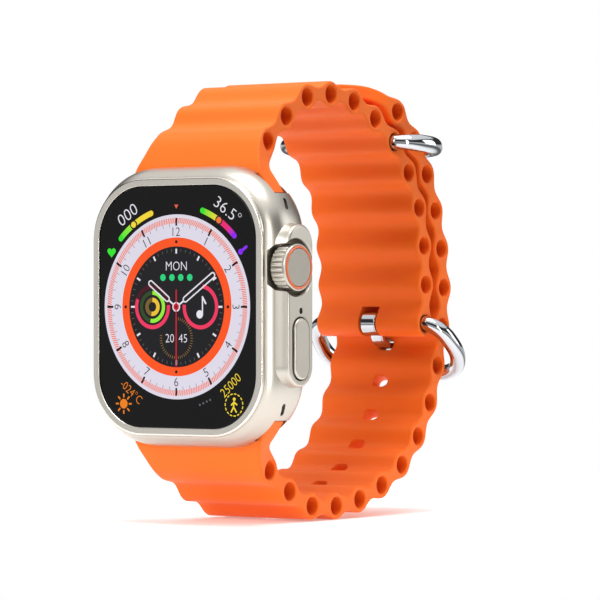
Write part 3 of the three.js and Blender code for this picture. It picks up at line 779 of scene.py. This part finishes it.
GAUGE_GREEN = linear(56, 232, 52)
GAUGE_MAGENTA = linear(238, 44, 118)
GAUGE_PURPLE = linear(140, 48, 248)
print_dial("dial_corner_gauges", 1, [
    band_ink(16.75, 17.75, -46, -19, [GAUGE_GREEN, INK_LIME, INK_YELLOW, INK_YELLOW], steps=20),
    dot_ink(*polar(17.25, -46), 0.5, GAUGE_GREEN), dot_ink(*polar(17.25, -19), 0.5, INK_YELLOW),
    text_ink("000", polar(19.5, -34), 2.1, INK_WHITE, -34, 4.6),
    heart_ink(*polar(17.4, -56.5), 1.9, GAUGE_GREEN),
    band_ink(17.1, 18.1, 19, 31, [GAUGE_GREEN, INK_YELLOW], steps=8),
    band_ink(17.1, 18.1, 33, 46, [GAUGE_MAGENTA, GAUGE_MAGENTA, GAUGE_PURPLE], steps=10),
    dot_ink(*polar(17.6, 19), 0.5, GAUGE_GREEN), dot_ink(*polar(17.6, 46), 0.5, GAUGE_PURPLE),
    text_ink("36.5°", polar(20.1, 34), 2.1, INK_WHITE, 34, 6.2),
    bar_ink(polar(17.0, 56), polar(18.4, 56), 0.5, GAUGE_PURPLE),
    dot_ink(*polar(16.9, 56), 0.5, GAUGE_PURPLE),
    text_ink("-024°C", (-10.0, -14.85), 1.55, INK_AMBER, 38, 5.4),
    text_ink("25000", polar(17.95, 138.6), 1.6, INK_YELLOW, -41.4, 4.9),
] + sun_ink(-11.75, -17.0, 0.85, INK_AMBER) + walker_ink(12.6, -16.85, INK_YELLOW)
  + [dot_ink(6.3 + 0.75 * i, -16.5 + 0.3 * i, 0.2, INK_GREY, 10) for i in (-1.5, -0.5, 0.5, 1.5)])
left_mark, right_mark = polar(17.25, -33.5), polar(17.6, 32)
print_dial("dial_gauge_marks", 2, [
    dot_ink(*left_mark, 0.8, INK_DARK), dot_ink(*right_mark, 0.8, INK_DARK)])
print_dial("dial_gauge_centres", 3, [
    dot_ink(*left_mark, 0.55, INK_YELLOW), dot_ink(*right_mark, 0.55, linear(250, 122, 62))])

# ---- Crown -----------------------------------------------------------------------------------
# A fluted titanium knob that turns and presses on a steel stem. A lacquered orange ring and a
# blasted titanium disc are set into its face.

KNOB_X = (19.6, 22.4)  # the back and the face that the ring and disc are set on
FLUTES = 26
FLUTE_DEPTH = 0.45
FACING_FEED = 0.12 * MM
LIP = 23.0  # the knob's thin front lip, round the colour ring
crown_at = (CROWN["y"], CROWN["z"])


def fluted(turn, profile):
    """1 on the crests, less in the grooves: 1 - depth/radius (1 - |sin(n turn / 2)|)^1.3."""
    groove = (1 - np.abs(np.sin(FLUTES * turn / 2))) ** 1.3
    outside = (profile[:, 1:2] > CROWN["radius"] - 0.25) & (profile[:, :1] < KNOB_X[1])
    return 1 - outside * FLUTE_DEPTH / CROWN["radius"] * groove


def crown_knob():
    """The fluted wheel: from its back up its side, over the lip, and down to its sunk face."""
    r = CROWN["radius"]
    back, step = KNOB_X
    rim = [(back, 1.0), (back, r - 0.5), (back + 0.15, r - 0.2), (back + 0.4, r - 0.04),
           (back + 0.7, r), (step - 0.3, r), (step - 0.05, r - 0.06), (step + 0.02, r - 0.02),
           (step + 0.2, r), (LIP - 0.15, r), (LIP - 0.02, r - 0.12), (LIP, r - 0.25),
           (LIP - 0.03, r - 0.29), (step, r - 0.3), (step, 1.0)]
    wheel = turned("crown_wheel", rim, centre=crown_at, columns=FLUTES * 20, wrap=True, swell=fluted)
    return smooth(wheel, 50)


def ring_profile(inner, outer, low, high, edge, steps=5):
    """A ring's section: two rounded front corners and two square ones behind."""
    turn = np.linspace(0, math.pi / 2, steps)
    x = high - edge * (1 - np.sin(turn))
    out = np.stack([x, outer - edge * (1 - np.cos(turn))], 1)
    back = np.stack([x, inner + edge * (1 - np.cos(turn))], 1)[::-1]
    return np.vstack([[(low, outer)], out, back, [(low, inner)]])


def orange_lacquer():
    paint = Finish("orange_lacquer", Coat_Weight=0.6, Coat_Roughness=0.1)
    flow = paint.place.noise(1.5 * MM, 3)
    paint.vary("Base Color", flow.blend(linear(238, 96, 28), linear(246, 112, 40)))
    paint.vary("Roughness", 0.32 + 0.1 * flow)
    return paint


def turned_titanium():
    """Matt face with the fine concentric trace of a facing cut."""
    metal = Finish("faced_titanium", Metallic=1.0)
    y, z = (metal.place.node("ShaderNodeSeparateXYZ", {}, {0: metal.place}, i) for i in (1, 2))
    y = y - crown_at[0] * MM
    z = z - crown_at[1] * MM
    radius = (y * y + z * z).root()
    trace = radius.math("SINE", radius * (2 * math.pi / FACING_FEED))
    cloud = metal.place.noise(1.2 * MM, 3)
    metal.vary("Base Color", cloud.blend(linear(178, 172, 162), linear(188, 183, 173)))
    metal.vary("Roughness", 0.46 + 0.1 * cloud)
    metal.bump(trace * 0.5 + 0.5, 0.0008 * MM)
    return metal


keep(crown_knob(), TITANIUM_SATIN, "crown", "titanium", "crown_knob")
keep(smooth(turned("crown_colour_ring", ring_profile(3.33, 3.7, 22.5, 23.15, 0.12), centre=crown_at,
                   wrap=True)), orange_lacquer(), "crown", "orange_lacquer", "crown_ring")
disc_x, disc_inset = eased(22.5, 23.1, 0, 0.12)
keep(smooth(turned("crown_disc", np.stack([disc_x, 3.27 - disc_inset], 1), centre=crown_at)),
     turned_titanium(), "crown", "titanium", "crown_face")

# ---- Side button -----------------------------------------------------------------------------
# A long titanium key below the crown, level with the guard, on a short shaft through a seal.

at_button = (BUTTON["y"], BUTTON["z"])
key_half = (BUTTON["width"] / 2, BUTTON["length"] / 2)
side_key = block("side_key_cap", key_half, key_half[0], 21.3, 22.9, edges=(0.15, 0.4),
                 axis="x", centre=at_button)
combine(side_key, "UNION", turned("shaft", [(14.8, 0.7), (14.9, 0.8), (21.6, 0.8)], centre=at_button))
keep(smooth(side_key), TITANIUM_SATIN, "side_key", "titanium", "side_button")

# ---- Back ------------------------------------------------------------------------------------
# A dark ceramic cover held by four screws, with the glass sensor window domed through it. The
# window shows the lamps and light sensors, and presses lightly on the wrist.

COVER_Y = (-3.1, -2.0)
DOME = [(-3.2, 12.0), (-2.1, 12.0), (-1.75, 11.85), (-1.3, 11.4), (-0.85, 10.5), (-0.55, 9.4),
        (-0.2, 8.1), (0.0, 6.5)]


def ceramic():
    """Dark glazed ceramic: almost even, with a faint orange-peel in the glaze."""
    glaze = Finish("dark_ceramic", Coat_Weight=0.35, Coat_Roughness=0.12)
    peel = glaze.place.noise(0.8 * MM, 2)
    glaze.vary("Base Color", peel.blend(linear(52, 52, 56), linear(60, 60, 64)))
    glaze.vary("Roughness", 0.28 + 0.12 * peel)
    glaze.bump(peel, 0.003 * MM)
    return glaze


def screw_steel():
    metal = Finish("screw_steel", Metallic=1.0)
    lathe = metal.place.noise(0.2 * MM, 4)
    metal.vary("Base Color", lathe.blend(linear(150, 150, 152), linear(184, 184, 186)))
    metal.vary("Roughness", 0.28 + 0.2 * lathe)
    metal.bump(lathe, 0.002 * MM)
    return metal


def sensor_glass():
    """Black glass with a grey ring printed round the lamps, and paler towards the middle."""
    glass = Finish("sensor_glass", IOR=1.5)
    x, z = (glass.place.node("ShaderNodeSeparateXYZ", {}, {0: glass.place}, i) for i in (0, 2))
    radius = (x * x + z * z).root()
    ring = radius.ease(6.9 * MM, 7.0 * MM) * (1 - radius.ease(7.2 * MM, 7.3 * MM))
    glow = radius.ease(2.0 * MM, 7.0 * MM)
    base = glow.blend(linear(28, 36, 34), linear(16, 16, 18))
    glass.vary("Base Color", ring.blend(base, linear(120, 120, 122)))
    glass.vary("Roughness", 0.05 + 0.2 * ring)
    return glass


def sensor_lamp(name, colour):
    lens = Finish(name, Coat_Weight=1.0, Coat_Roughness=0.03)
    cell = lens.place.noise(0.3 * MM, 1)
    lens.vary("Base Color", cell.blend(colour, linear(60, 66, 60)))
    lens.vary("Roughness", 0.2 + 0.2 * cell)
    return lens


CERAMIC = ceramic()
SCREW_STEEL = screw_steel()
cover = block("ceramic_back", COVER["half"], COVER["corner"] - 0.2, *COVER_Y, edges=(0, 0.3), arc=30)
bore = COVER["window"] + 0.25
combine(cover, "DIFFERENCE", turned(
    "window_hole", [(-4, bore), (-2.3, bore), (-1.9, bore + 0.35), (-1, bore + 1.25)], axis="y"))
corners = [(i * SCREW["x"], k * SCREW["z"]) for i, k in ((1, 1), (-1, 1), (-1, -1), (1, -1))]
for number, corner in enumerate(corners, 1):
    sink = [(-4, 0.8), (-2.9, 0.8), (-2.9, SCREW["head"] + 0.15), (-1, SCREW["head"] + 0.15)]
    combine(cover, "DIFFERENCE", turned("sink", sink, axis="y", centre=corner, columns=40))
    shape = [(-5.4, 0.35), (-5.1, 0.55), (-2.85, 0.55), (-2.85, 0.95), (-2.35, 1.0), (-2.2, 0.92),
             (-2.15, 0.8)]
    screw = turned("screw", shape, axis="y", centre=corner, columns=40)
    for turn in (0, 60, 120):  # a six-pointed drive, from three crossed slots
        slot_ring = outline([0.55, 0.55], [0.13, 0.13], [0.13, 0.13], 5, 2)
        c, s = math.cos(math.radians(turn)), math.sin(math.radians(turn))
        spun = np.stack([slot_ring[..., 0] * c - slot_ring[..., 1] * s,
                         slot_ring[..., 0] * s + slot_ring[..., 1] * c], axis=-1)
        points = along_y(spun, [-2.5, -1.5]) + np.array([corner[0], 0, corner[1]])
        combine(screw, "DIFFERENCE", surface("drive", points * MM))
    screw.name = f"cover_screw_{number}"
    keep(smooth(screw), SCREW_STEEL, "case", "steel", f"back_screw_{number}")
keep(smooth(cover), CERAMIC, "case", "ceramic", "back_cover")

dome_curve = curve_through(DOME[1:], 5)
dome_profile = np.vstack([DOME[0], dome_curve, [(0.0, 3.0)]])
window = smooth(turned("sensor_dome", dome_profile, axis="y", columns=128), 40)
keep(window, sensor_glass(), "case", "glass", "sensor_window")
LAMPS = {"green": linear(70, 150, 70), "red": linear(150, 40, 36), "clear": linear(70, 74, 82)}
LAMP_FINISHES = {name: sensor_lamp(f"lamp_{name}", tint) for name, tint in LAMPS.items()}
for number, kind in enumerate(("green", "clear", "red", "clear") * 2):
    centre = polar(4.6, 45 * number)
    half = (0.85, 0.85) if kind == "clear" else (0.6, 0.6)
    lamp = block(f"sensor_lamp_{number + 1}", half, 0.3, -0.3, 0.02, edges=(0, 0.02), centre=centre, arc=6)
    keep(smooth(lamp), LAMP_FINISHES[kind], "case", "glass")

# ---- Band ------------------------------------------------------------------------------------
# Each half is moulded in one piece of orange fluoroelastomer, with a hollow tube across it at
# every wave. The roots flare to the case's corners; the long half is punched for the tongue.

BAND_HALF = 11.6
ROOT_HALF = 16.2
TUBE_RADIUS = 1.65
CREST = 2.4
VALLEY = 1.25
NECK = 1.85
EDGE = 0.42  # rounding of the band's long edges
MOUTH = 0.28  # rounding of each tube's mouth
UPPER_LINE = [(-6.6, 19.7), (-6.6, 24.2), (-2.7, 29.3), (8.3, 37), (15.3, 37.9), (22.5, 37),
              (35.1, 30.3), (43.2, 18.8), (45.6, 4.4), (45.2, -3.1), (44.7, -7)]
LOWER_LINE = [(-6.6, -19.7), (-6.6, -24.2), (-2, -29.1), (9.6, -35.2), (16.8, -35.6), (24.1, -34.8),
              (37.4, -29.2), (46.8, -17.9), (51.5, 3.4), (46, 24.4), (36.5, 35.6), (31.2, 38.7),
              (26.4, 39.4)]
TIP_RADIUS = 11.5  # of the long half's round end, seen from outside
TIP_THICKNESS = 1.1
HOLE = {"length": 3.6, "width": 2.3, "first": 3, "last": 10}


class BandLine:
    """A half's middle line by distance: where(s) in (y, z), and the unit vector across it."""

    def __init__(self, points, first, last, tubes):
        self.points = curve_through(points, 400)
        steps = np.linalg.norm(np.diff(self.points, axis=0), axis=1)
        self.distance = np.concatenate([[0], np.cumsum(steps)])
        self.length = self.distance[-1]
        self.first = self.nearest(first)
        self.pitch = (self.nearest(last) - self.first) / (tubes - 1)
        self.tubes = self.first + self.pitch * np.arange(tubes)

    def nearest(self, point):
        return self.distance[np.argmin(np.linalg.norm(self.points - np.array(point), axis=1))]

    def where(self, s):
        return np.stack([np.interp(s, self.distance, self.points[:, i]) for i in (0, 1)], axis=-1)

    def across(self, s):
        reach = 0.05
        run = self.where(np.minimum(s + reach, self.length)) - self.where(np.maximum(s - reach, 0))
        run = run / np.linalg.norm(run, axis=-1, keepdims=True)
        return np.stack([-run[..., 1], run[..., 0]], axis=-1)


def half_thickness(line, s):
    """Waves in step with the tubes: valley + (crest - valley)(1 + cos(2 pi (s - first)/pitch))/2.
    Before the first tube it eases from the neck's thickness; after the last it stays thin."""
    wave = VALLEY + (CREST - VALLEY) * (0.5 + 0.5 * np.cos(2 * np.pi * (s - line.first) / line.pitch))
    rise = np.clip((s - line.first + 5) / 4, 0, 1)
    root = NECK + (CREST - NECK) * rise * rise * (3 - 2 * rise)
    return np.where(s < line.first, root, np.where(s > line.tubes[-1] + 0.45 * line.pitch, VALLEY, wave))


def root_width(line, s):
    """Half the width: a quadratic Bezier from the case's corners to the band, by height z."""
    t = np.linspace(0, 1, 60)
    z = (1 - t) ** 2 * 19.9 + 2 * t * (1 - t) * 26 + t**2 * 29.5
    width = (1 - t) ** 2 * ROOT_HALF + 2 * t * (1 - t) * (BAND_HALF + 0.5) + t**2 * BAND_HALF
    height = np.abs(line.where(s)[:, 1])
    return np.where(s > line.first + 2, BAND_HALF, np.interp(height, z, width))


def band_skin(name, line, s, half_width, thickness):
    """The section, a rounded rectangle across the band, carried along the middle line."""
    edge = np.minimum(EDGE, 0.98 * np.minimum(thickness, half_width))
    ring = outline(half_width, thickness, edge, 7, 10)
    at, across = line.where(s)[:, None], line.across(s)[:, None]
    yz = at + across * ring[..., 1:]
    return surface(name, np.concatenate([ring[..., :1], yz], axis=-1) * MM)


def tube_tool(line, number, half_width):
    """What is cored out of one wave: a round bar that flares where it leaves the band's edges."""
    y, z = line.where(line.tubes[number])
    turn = np.linspace(0, math.pi / 2, 5)
    x = half_width - MOUTH * (1 - np.sin(turn))
    radius = TUBE_RADIUS + MOUTH * (1 - np.cos(turn))
    side = np.vstack([np.stack([x, radius], 1), [(half_width + 1.2, radius[-1] + 0.1)]])
    mirrored = side[::-1] * np.array([-1, 1])
    return turned("tube", np.vstack([mirrored, side]), centre=(y, z), columns=48)


def hole_tool(line, tube):
    """A stadium across the valley after a tube, its two rims eased."""
    s = np.array([line.tubes[tube - 1] + line.pitch / 2])
    at, across = line.where(s)[0], line.across(s)[0]
    along = np.array([across[1], -across[0]])
    t = np.array([-4, -1.35, -1.22, -1.05, 1.05, 1.22, 1.35, 4])
    ease = np.array([0.22, 0.16, 0.05, 0, 0, 0.05, 0.16, 0.22]) - 0.15
    ring = outline(HOLE["length"] / 2 + ease, HOLE["width"] / 2 + ease, HOLE["width"] / 2 + ease, 12, 4)
    yz = at + ring[..., 1:] * along + t[:, None, None] * across
    return surface("hole", np.concatenate([ring[..., :1], yz], axis=-1) * MM)


def root_tools(sign):
    """The pockets for the metal connector that is moulded into the root."""
    y = CHANNEL["y"]
    return [slab("foot_pocket", (-12.9, 12.9), (-13, 0), signed(sign, 18, CHANNEL["shoulder"] + 0.3)),
            slab("tongue_pocket", (-12.1, 12.1), (y - 0.95, y + 0.95), signed(sign, 22, 25.4))]


def elastomer():
    """Moulded fluoroelastomer: a dry sheen, faint flow clouds and a very fine spark grain."""
    rubber = Finish("orange_elastomer", Sheen_Weight=0.08, Sheen_Roughness=0.5, Specular_IOR_Level=0.25)
    flow = rubber.place.noise(12 * MM, 3)
    grain = rubber.place.noise(0.11 * MM, 2)
    rubber.vary("Base Color", flow.blend(linear(250, 108, 12), linear(254, 114, 17)))
    rubber.vary("Roughness", 0.46 + 0.14 * grain)
    rubber.bump(grain, 0.0035 * MM)
    return rubber


def upper_half(line):
    end = line.tubes[-1] + CREST
    body = np.arange(0.1, end - CREST, line.pitch / 22)
    tip = end - CREST + CREST * np.sin(np.linspace(0, math.pi / 2, 14)) * 0.9995
    s = np.concatenate([body, tip])
    past = np.maximum(s - (end - CREST), 0)
    thickness = np.minimum(np.where(past > 0, CREST, half_thickness(line, s)),
                           np.sqrt(CREST**2 - past**2))
    strap = band_skin("upper_band_half", line, s, root_width(line, s), thickness)
    for number in range(len(line.tubes)):
        combine(strap, "DIFFERENCE", tube_tool(line, number, BAND_HALF))
    y, z = line.where(line.tubes[-1])
    combine(strap, "DIFFERENCE", *root_tools(1),
            turned("barrel_slot", [(-2, 3.3), (2, 3.3)], centre=(y, z)))
    return smooth(strap, 40)


def lower_half(line):
    """As the upper half, with a round tip: half width sqrt(R^2 - (R - d)^2) at d from the end."""
    end = line.length - 0.1
    body = np.arange(0.1, end - TIP_RADIUS, line.pitch / 22)
    tip = end - TIP_RADIUS * (1 - np.sin(np.linspace(0, math.pi / 2, 40))) - 0.01
    s = np.concatenate([body, tip])
    left = end - s
    width = np.minimum(root_width(line, s), np.sqrt(
        np.maximum(TIP_RADIUS**2 - np.maximum(TIP_RADIUS - left, 0) ** 2, 0)) + (left > TIP_RADIUS) * 99)
    thin = np.sqrt(np.maximum(TIP_THICKNESS**2 - np.maximum(TIP_THICKNESS - left, 0) ** 2, 1e-4))
    thickness = np.where(left < TIP_THICKNESS, thin, half_thickness(line, s))
    strap = band_skin("lower_band_half", line, s, width, thickness)
    for number in range(len(line.tubes)):
        combine(strap, "DIFFERENCE", tube_tool(line, number, BAND_HALF))
    combine(strap, "DIFFERENCE", *root_tools(-1),
            *[hole_tool(line, tube) for tube in range(HOLE["first"], HOLE["last"] + 1)])
    return smooth(strap, 40)


upper = BandLine(UPPER_LINE, (-3.2, 28.8), (45.2, -3.1), 12)
lower = BandLine(LOWER_LINE, (-2.8, -28.4), (36.5, 35.6), 17)
ELASTOMER = elastomer()
keep(upper_half(upper), ELASTOMER, "upper_band", "elastomer", "upper_strap")
keep(lower_half(lower), ELASTOMER, "lower_band", "elastomer", "lower_strap")

# ---- Connectors and releases -----------------------------------------------------------------
# A titanium foot on each half slides along a slot in the case until its spring catch clicks.
# A small ceramic key in the back lifts the catch, so that the half can slide out again.


def eased_copy(node, name, edge):
    """The node's own solid, welded, with its true edges given a small bevel."""
    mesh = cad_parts[node].data.copy()
    work = bmesh.new()
    work.from_mesh(mesh)
    bmesh.ops.remove_doubles(work, verts=work.verts, dist=1e-6)
    bmesh.ops.dissolve_limit(work, angle_limit=0.01, verts=work.verts, edges=work.edges)
    work.to_mesh(mesh)
    work.free()
    piece = bpy.data.objects.new(name, mesh)
    bpy.context.collection.objects.link(piece)
    bevel = piece.modifiers.new("bevel", "BEVEL")
    bevel.width = edge * MM
    bevel.segments = 3
    bevel.limit_method = "ANGLE"
    bevel.angle_limit = math.radians(50)
    bevel.use_clamp_overlap = True
    bpy.context.view_layer.objects.active = piece
    bpy.ops.object.modifier_apply(modifier=bevel.name)
    return piece


for half, sign in (("upper", 1), ("lower", -1)):
    body = f"{half}_band"
    keep(smooth(eased_copy(f"{half}_connector", f"{half}_foot", 0.18)), TITANIUM_SATIN, body,
         "titanium", f"{half}_connector")
    keep(smooth(eased_copy(f"{half}_catch", f"{half}_spring_catch", 0.1)), SCREW_STEEL, body,
         "steel", f"{half}_catch")
    key = block(f"{half}_release_key", (3.5, 0.8), 0.8, -3.3, -1.9, edges=(0.1, 0.25),
                centre=(0, sign * 20.7))
    keep(smooth(key), CERAMIC, f"{half}_release", "ceramic", f"{half}_release_button")

# ---- Keeper and buckle -----------------------------------------------------------------------
# Polished steel wire, bent to a loop whose two ends turn into a tube of the short half, where a
# bar joins them. The keeper holds the long half down; the buckle carries the forged tongue.

WIRE = 1.4  # half the wire's thickness in the tube and along the loop's plane
WIRE_ABOVE, WIRE_BELOW = 1.75, 1.45  # and across that plane, outside the tube
BAR_END = 9.0


def chrome():
    """Bright plating: even mirror, with a breath of haze and hairline wear."""
    plate = Finish("bright_chrome", Metallic=1.0)
    haze = plate.place.noise(2.5 * MM, 4)
    plate.vary("Base Color", haze.blend(linear(192, 195, 200), linear(204, 207, 211)))
    plate.vary("Roughness", 0.035 + 0.05 * haze)
    return plate


def loop_path(depth, half):
    """The wire's middle line: out of the tube, bowed to half a width, round, across and back."""
    side = [(9.3, 0), (10.6, 0), (11.9, 0), (half - 0.9, 1.7), (half, 4.8), (half, 0.6 * depth),
            (half - 1.5, 0.84 * depth), (half - 4.4, 0.975 * depth), (half - 8, depth)]
    path = curve_through(side + [(-x, y) for x, y in side[::-1]], 40)
    gaps = np.linalg.norm(np.diff(path, axis=0), axis=1)
    distance = np.concatenate([[0], np.cumsum(gaps)])
    even = np.linspace(0, distance[-1], 240)
    return np.stack([np.interp(even, distance, path[:, i]) for i in (0, 1)], axis=-1)


def swing(points, pivot, turn):
    """Points in a hinge's own frame, turned about X and set on its pivot (y, z)."""
    y, z = points[..., 1], points[..., 2]
    c, s = math.cos(turn), math.sin(turn)
    return np.stack([points[..., 0], y * c - z * s + pivot[0], y * s + z * c + pivot[1]], axis=-1)


def wire_loop(name, pivot, turn, depth, half):
    """A section carried along the loop: path + wire cos a side + height sin a up. It is round
    inside the tube and a little taller outside it, more above than below."""
    path = loop_path(depth, half)
    run = np.gradient(path, axis=0)
    run = run / np.linalg.norm(run, axis=1, keepdims=True)
    side = np.stack([-run[:, 1], run[:, 0]], axis=-1)
    angle = np.linspace(0, 2 * math.pi, 33)[None, :-1, None]
    flat = path[:, None] + WIRE * np.cos(angle) * side[:, None]
    out = np.clip(path[:, 1] / 4, 0, 1)[:, None, None]
    side_height = np.where(np.sin(angle) > 0, WIRE_ABOVE, WIRE_BELOW)
    height = WIRE + (side_height - WIRE) * out * out * (3 - 2 * out)
    up = height * np.sin(angle)
    return smooth(surface(name, swing(np.concatenate([flat, up], -1), pivot, turn) * MM), 60)


def loop_bar(name, pivot):
    at, inset = eased(-BAR_END, BAR_END, 0.3, 0.3)
    return smooth(turned(name, np.stack([at, WIRE - inset], 1), centre=pivot, columns=48))


CHROME = chrome()
keeper_pivot = upper.where(upper.tubes[6])
buckle_pivot = upper.where(upper.tubes[11])
keep(wire_loop("keeper_wire", keeper_pivot, -0.08, 12.3, 14.9), CHROME, "keeper", "chrome",
     "keeper_loop")
keep(loop_bar("keeper_pin", keeper_pivot), CHROME, "keeper", "chrome", "keeper_bar")
keep(wire_loop("buckle_wire", buckle_pivot, -0.8, 13.1, 14.9), CHROME, "buckle", "chrome",
     "buckle_ring")
keep(loop_bar("buckle_pin", buckle_pivot), CHROME, "buckle", "chrome", "buckle_bar")

TONGUE_LINE = [(0.9, -1.4), (1.6, -3.1), (3.4, -4.05), (5.2, -4.25), (7, -4.75), (9.4, -6.3),
               (11.6, -7.9)]


def tongue_piece():
    """A flat bar with eased edges along its bent line, joined to a barrel bored for the bar."""
    line = curve_through(TONGUE_LINE, 8)
    run = np.gradient(line, axis=0)
    run = run / np.linalg.norm(run, axis=1, keepdims=True)
    side = np.stack([-run[:, 1], run[:, 0]], axis=-1)[:, None]
    left = np.linspace(1, 0, len(line)) * np.linalg.norm(np.diff(line, axis=0), axis=1).sum()
    nose = np.sqrt(np.clip(1 - (1 - left / 1.2) ** 2, 0.02, 1)) * (left < 1.2) + (left >= 1.2)
    ring = outline(1.3 * nose, 0.55 * nose**0.5, 0.25 * nose, 5, 4)
    yz = line[:, None] + ring[..., 1:] * side
    points = swing(np.concatenate([ring[..., :1], yz], axis=-1), buckle_pivot, 0)
    blade = surface("tongue_blade", points * MM)
    at, inset = eased(-1.6, 1.6, 0.25, 0.25)
    barrel = turned("barrel", np.stack([at, 2.3 - inset], 1), centre=buckle_pivot, columns=64)
    combine(blade, "UNION", barrel)
    bore = WIRE + 0.25
    combine(blade, "DIFFERENCE",
            turned("bore", [(-3, bore), (3, bore)], centre=buckle_pivot, columns=48))
    return smooth(blade, 40)


keep(tongue_piece(), CHROME, "tongue", "chrome", "buckle_tongue")

# ---- Inside the case -------------------------------------------------------------------------
# The works keep their plain solids: screen and frame, boards, battery, aerial, speaker, motor,
# switches, coils and seals. Each has the finish of what it is made of.


def grained(name, first, second, size, low, high, depth=0.004, **constants):
    """A finish that varies between two colours and two roughnesses with one noise."""
    made = Finish(name, **constants)
    grain = made.place.noise(size * MM, 3)
    made.vary("Base Color", grain.blend(linear(*first), linear(*second)))
    made.vary("Roughness", low + (high - low) * grain)
    made.bump(grain, depth * MM)
    return made


def board_laminate():
    """Green solder mask over a grid of copper tracks."""
    board = Finish("board_laminate")
    inputs = {"Vector": board.place, "Scale": 700.0, "Mortar Size": 0.03, "Color1": linear(24, 84, 52),
              "Color2": linear(30, 98, 60), "Mortar": linear(150, 140, 70)}
    tracks = board.place.node("ShaderNodeTexBrick", {}, inputs)
    board.vary("Base Color", tracks)
    board.vary("Roughness", 0.35 + 0.2 * board.place.noise(0.5 * MM))
    return board


dress(grained("seal_rubber", (30, 30, 30), (44, 44, 44), 0.3, 0.7, 0.9, 0.01),
      "crystal_gasket", "back_gasket", "crown_seal", "side_button_seal")
dress(grained("moulded_plastic", (44, 46, 50), (56, 58, 62), 0.2, 0.5, 0.7), "display_frame", "speaker",
      "crown_encoder")
dress(grained("battery_wrap", (60, 62, 70), (74, 76, 84), 1.0, 0.3, 0.5), "battery")
dress(board_laminate(), "main_board", "sensor_board")
dress(grained("copper_winding", (184, 112, 60), (206, 134, 78), 0.15, 0.25, 0.45, Metallic=1.0),
      "gps_antenna", "charging_coil")
dress(grained("screen_glass", (12, 12, 14), (18, 18, 22), 3.0, 0.08, 0.16, 0.0), "display_panel")
dress(SCREW_STEEL, "microphone", "vibration_motor", "crown_bush", "crown_switch", "crown_plunger",
      "crown_stem", "button_switch")
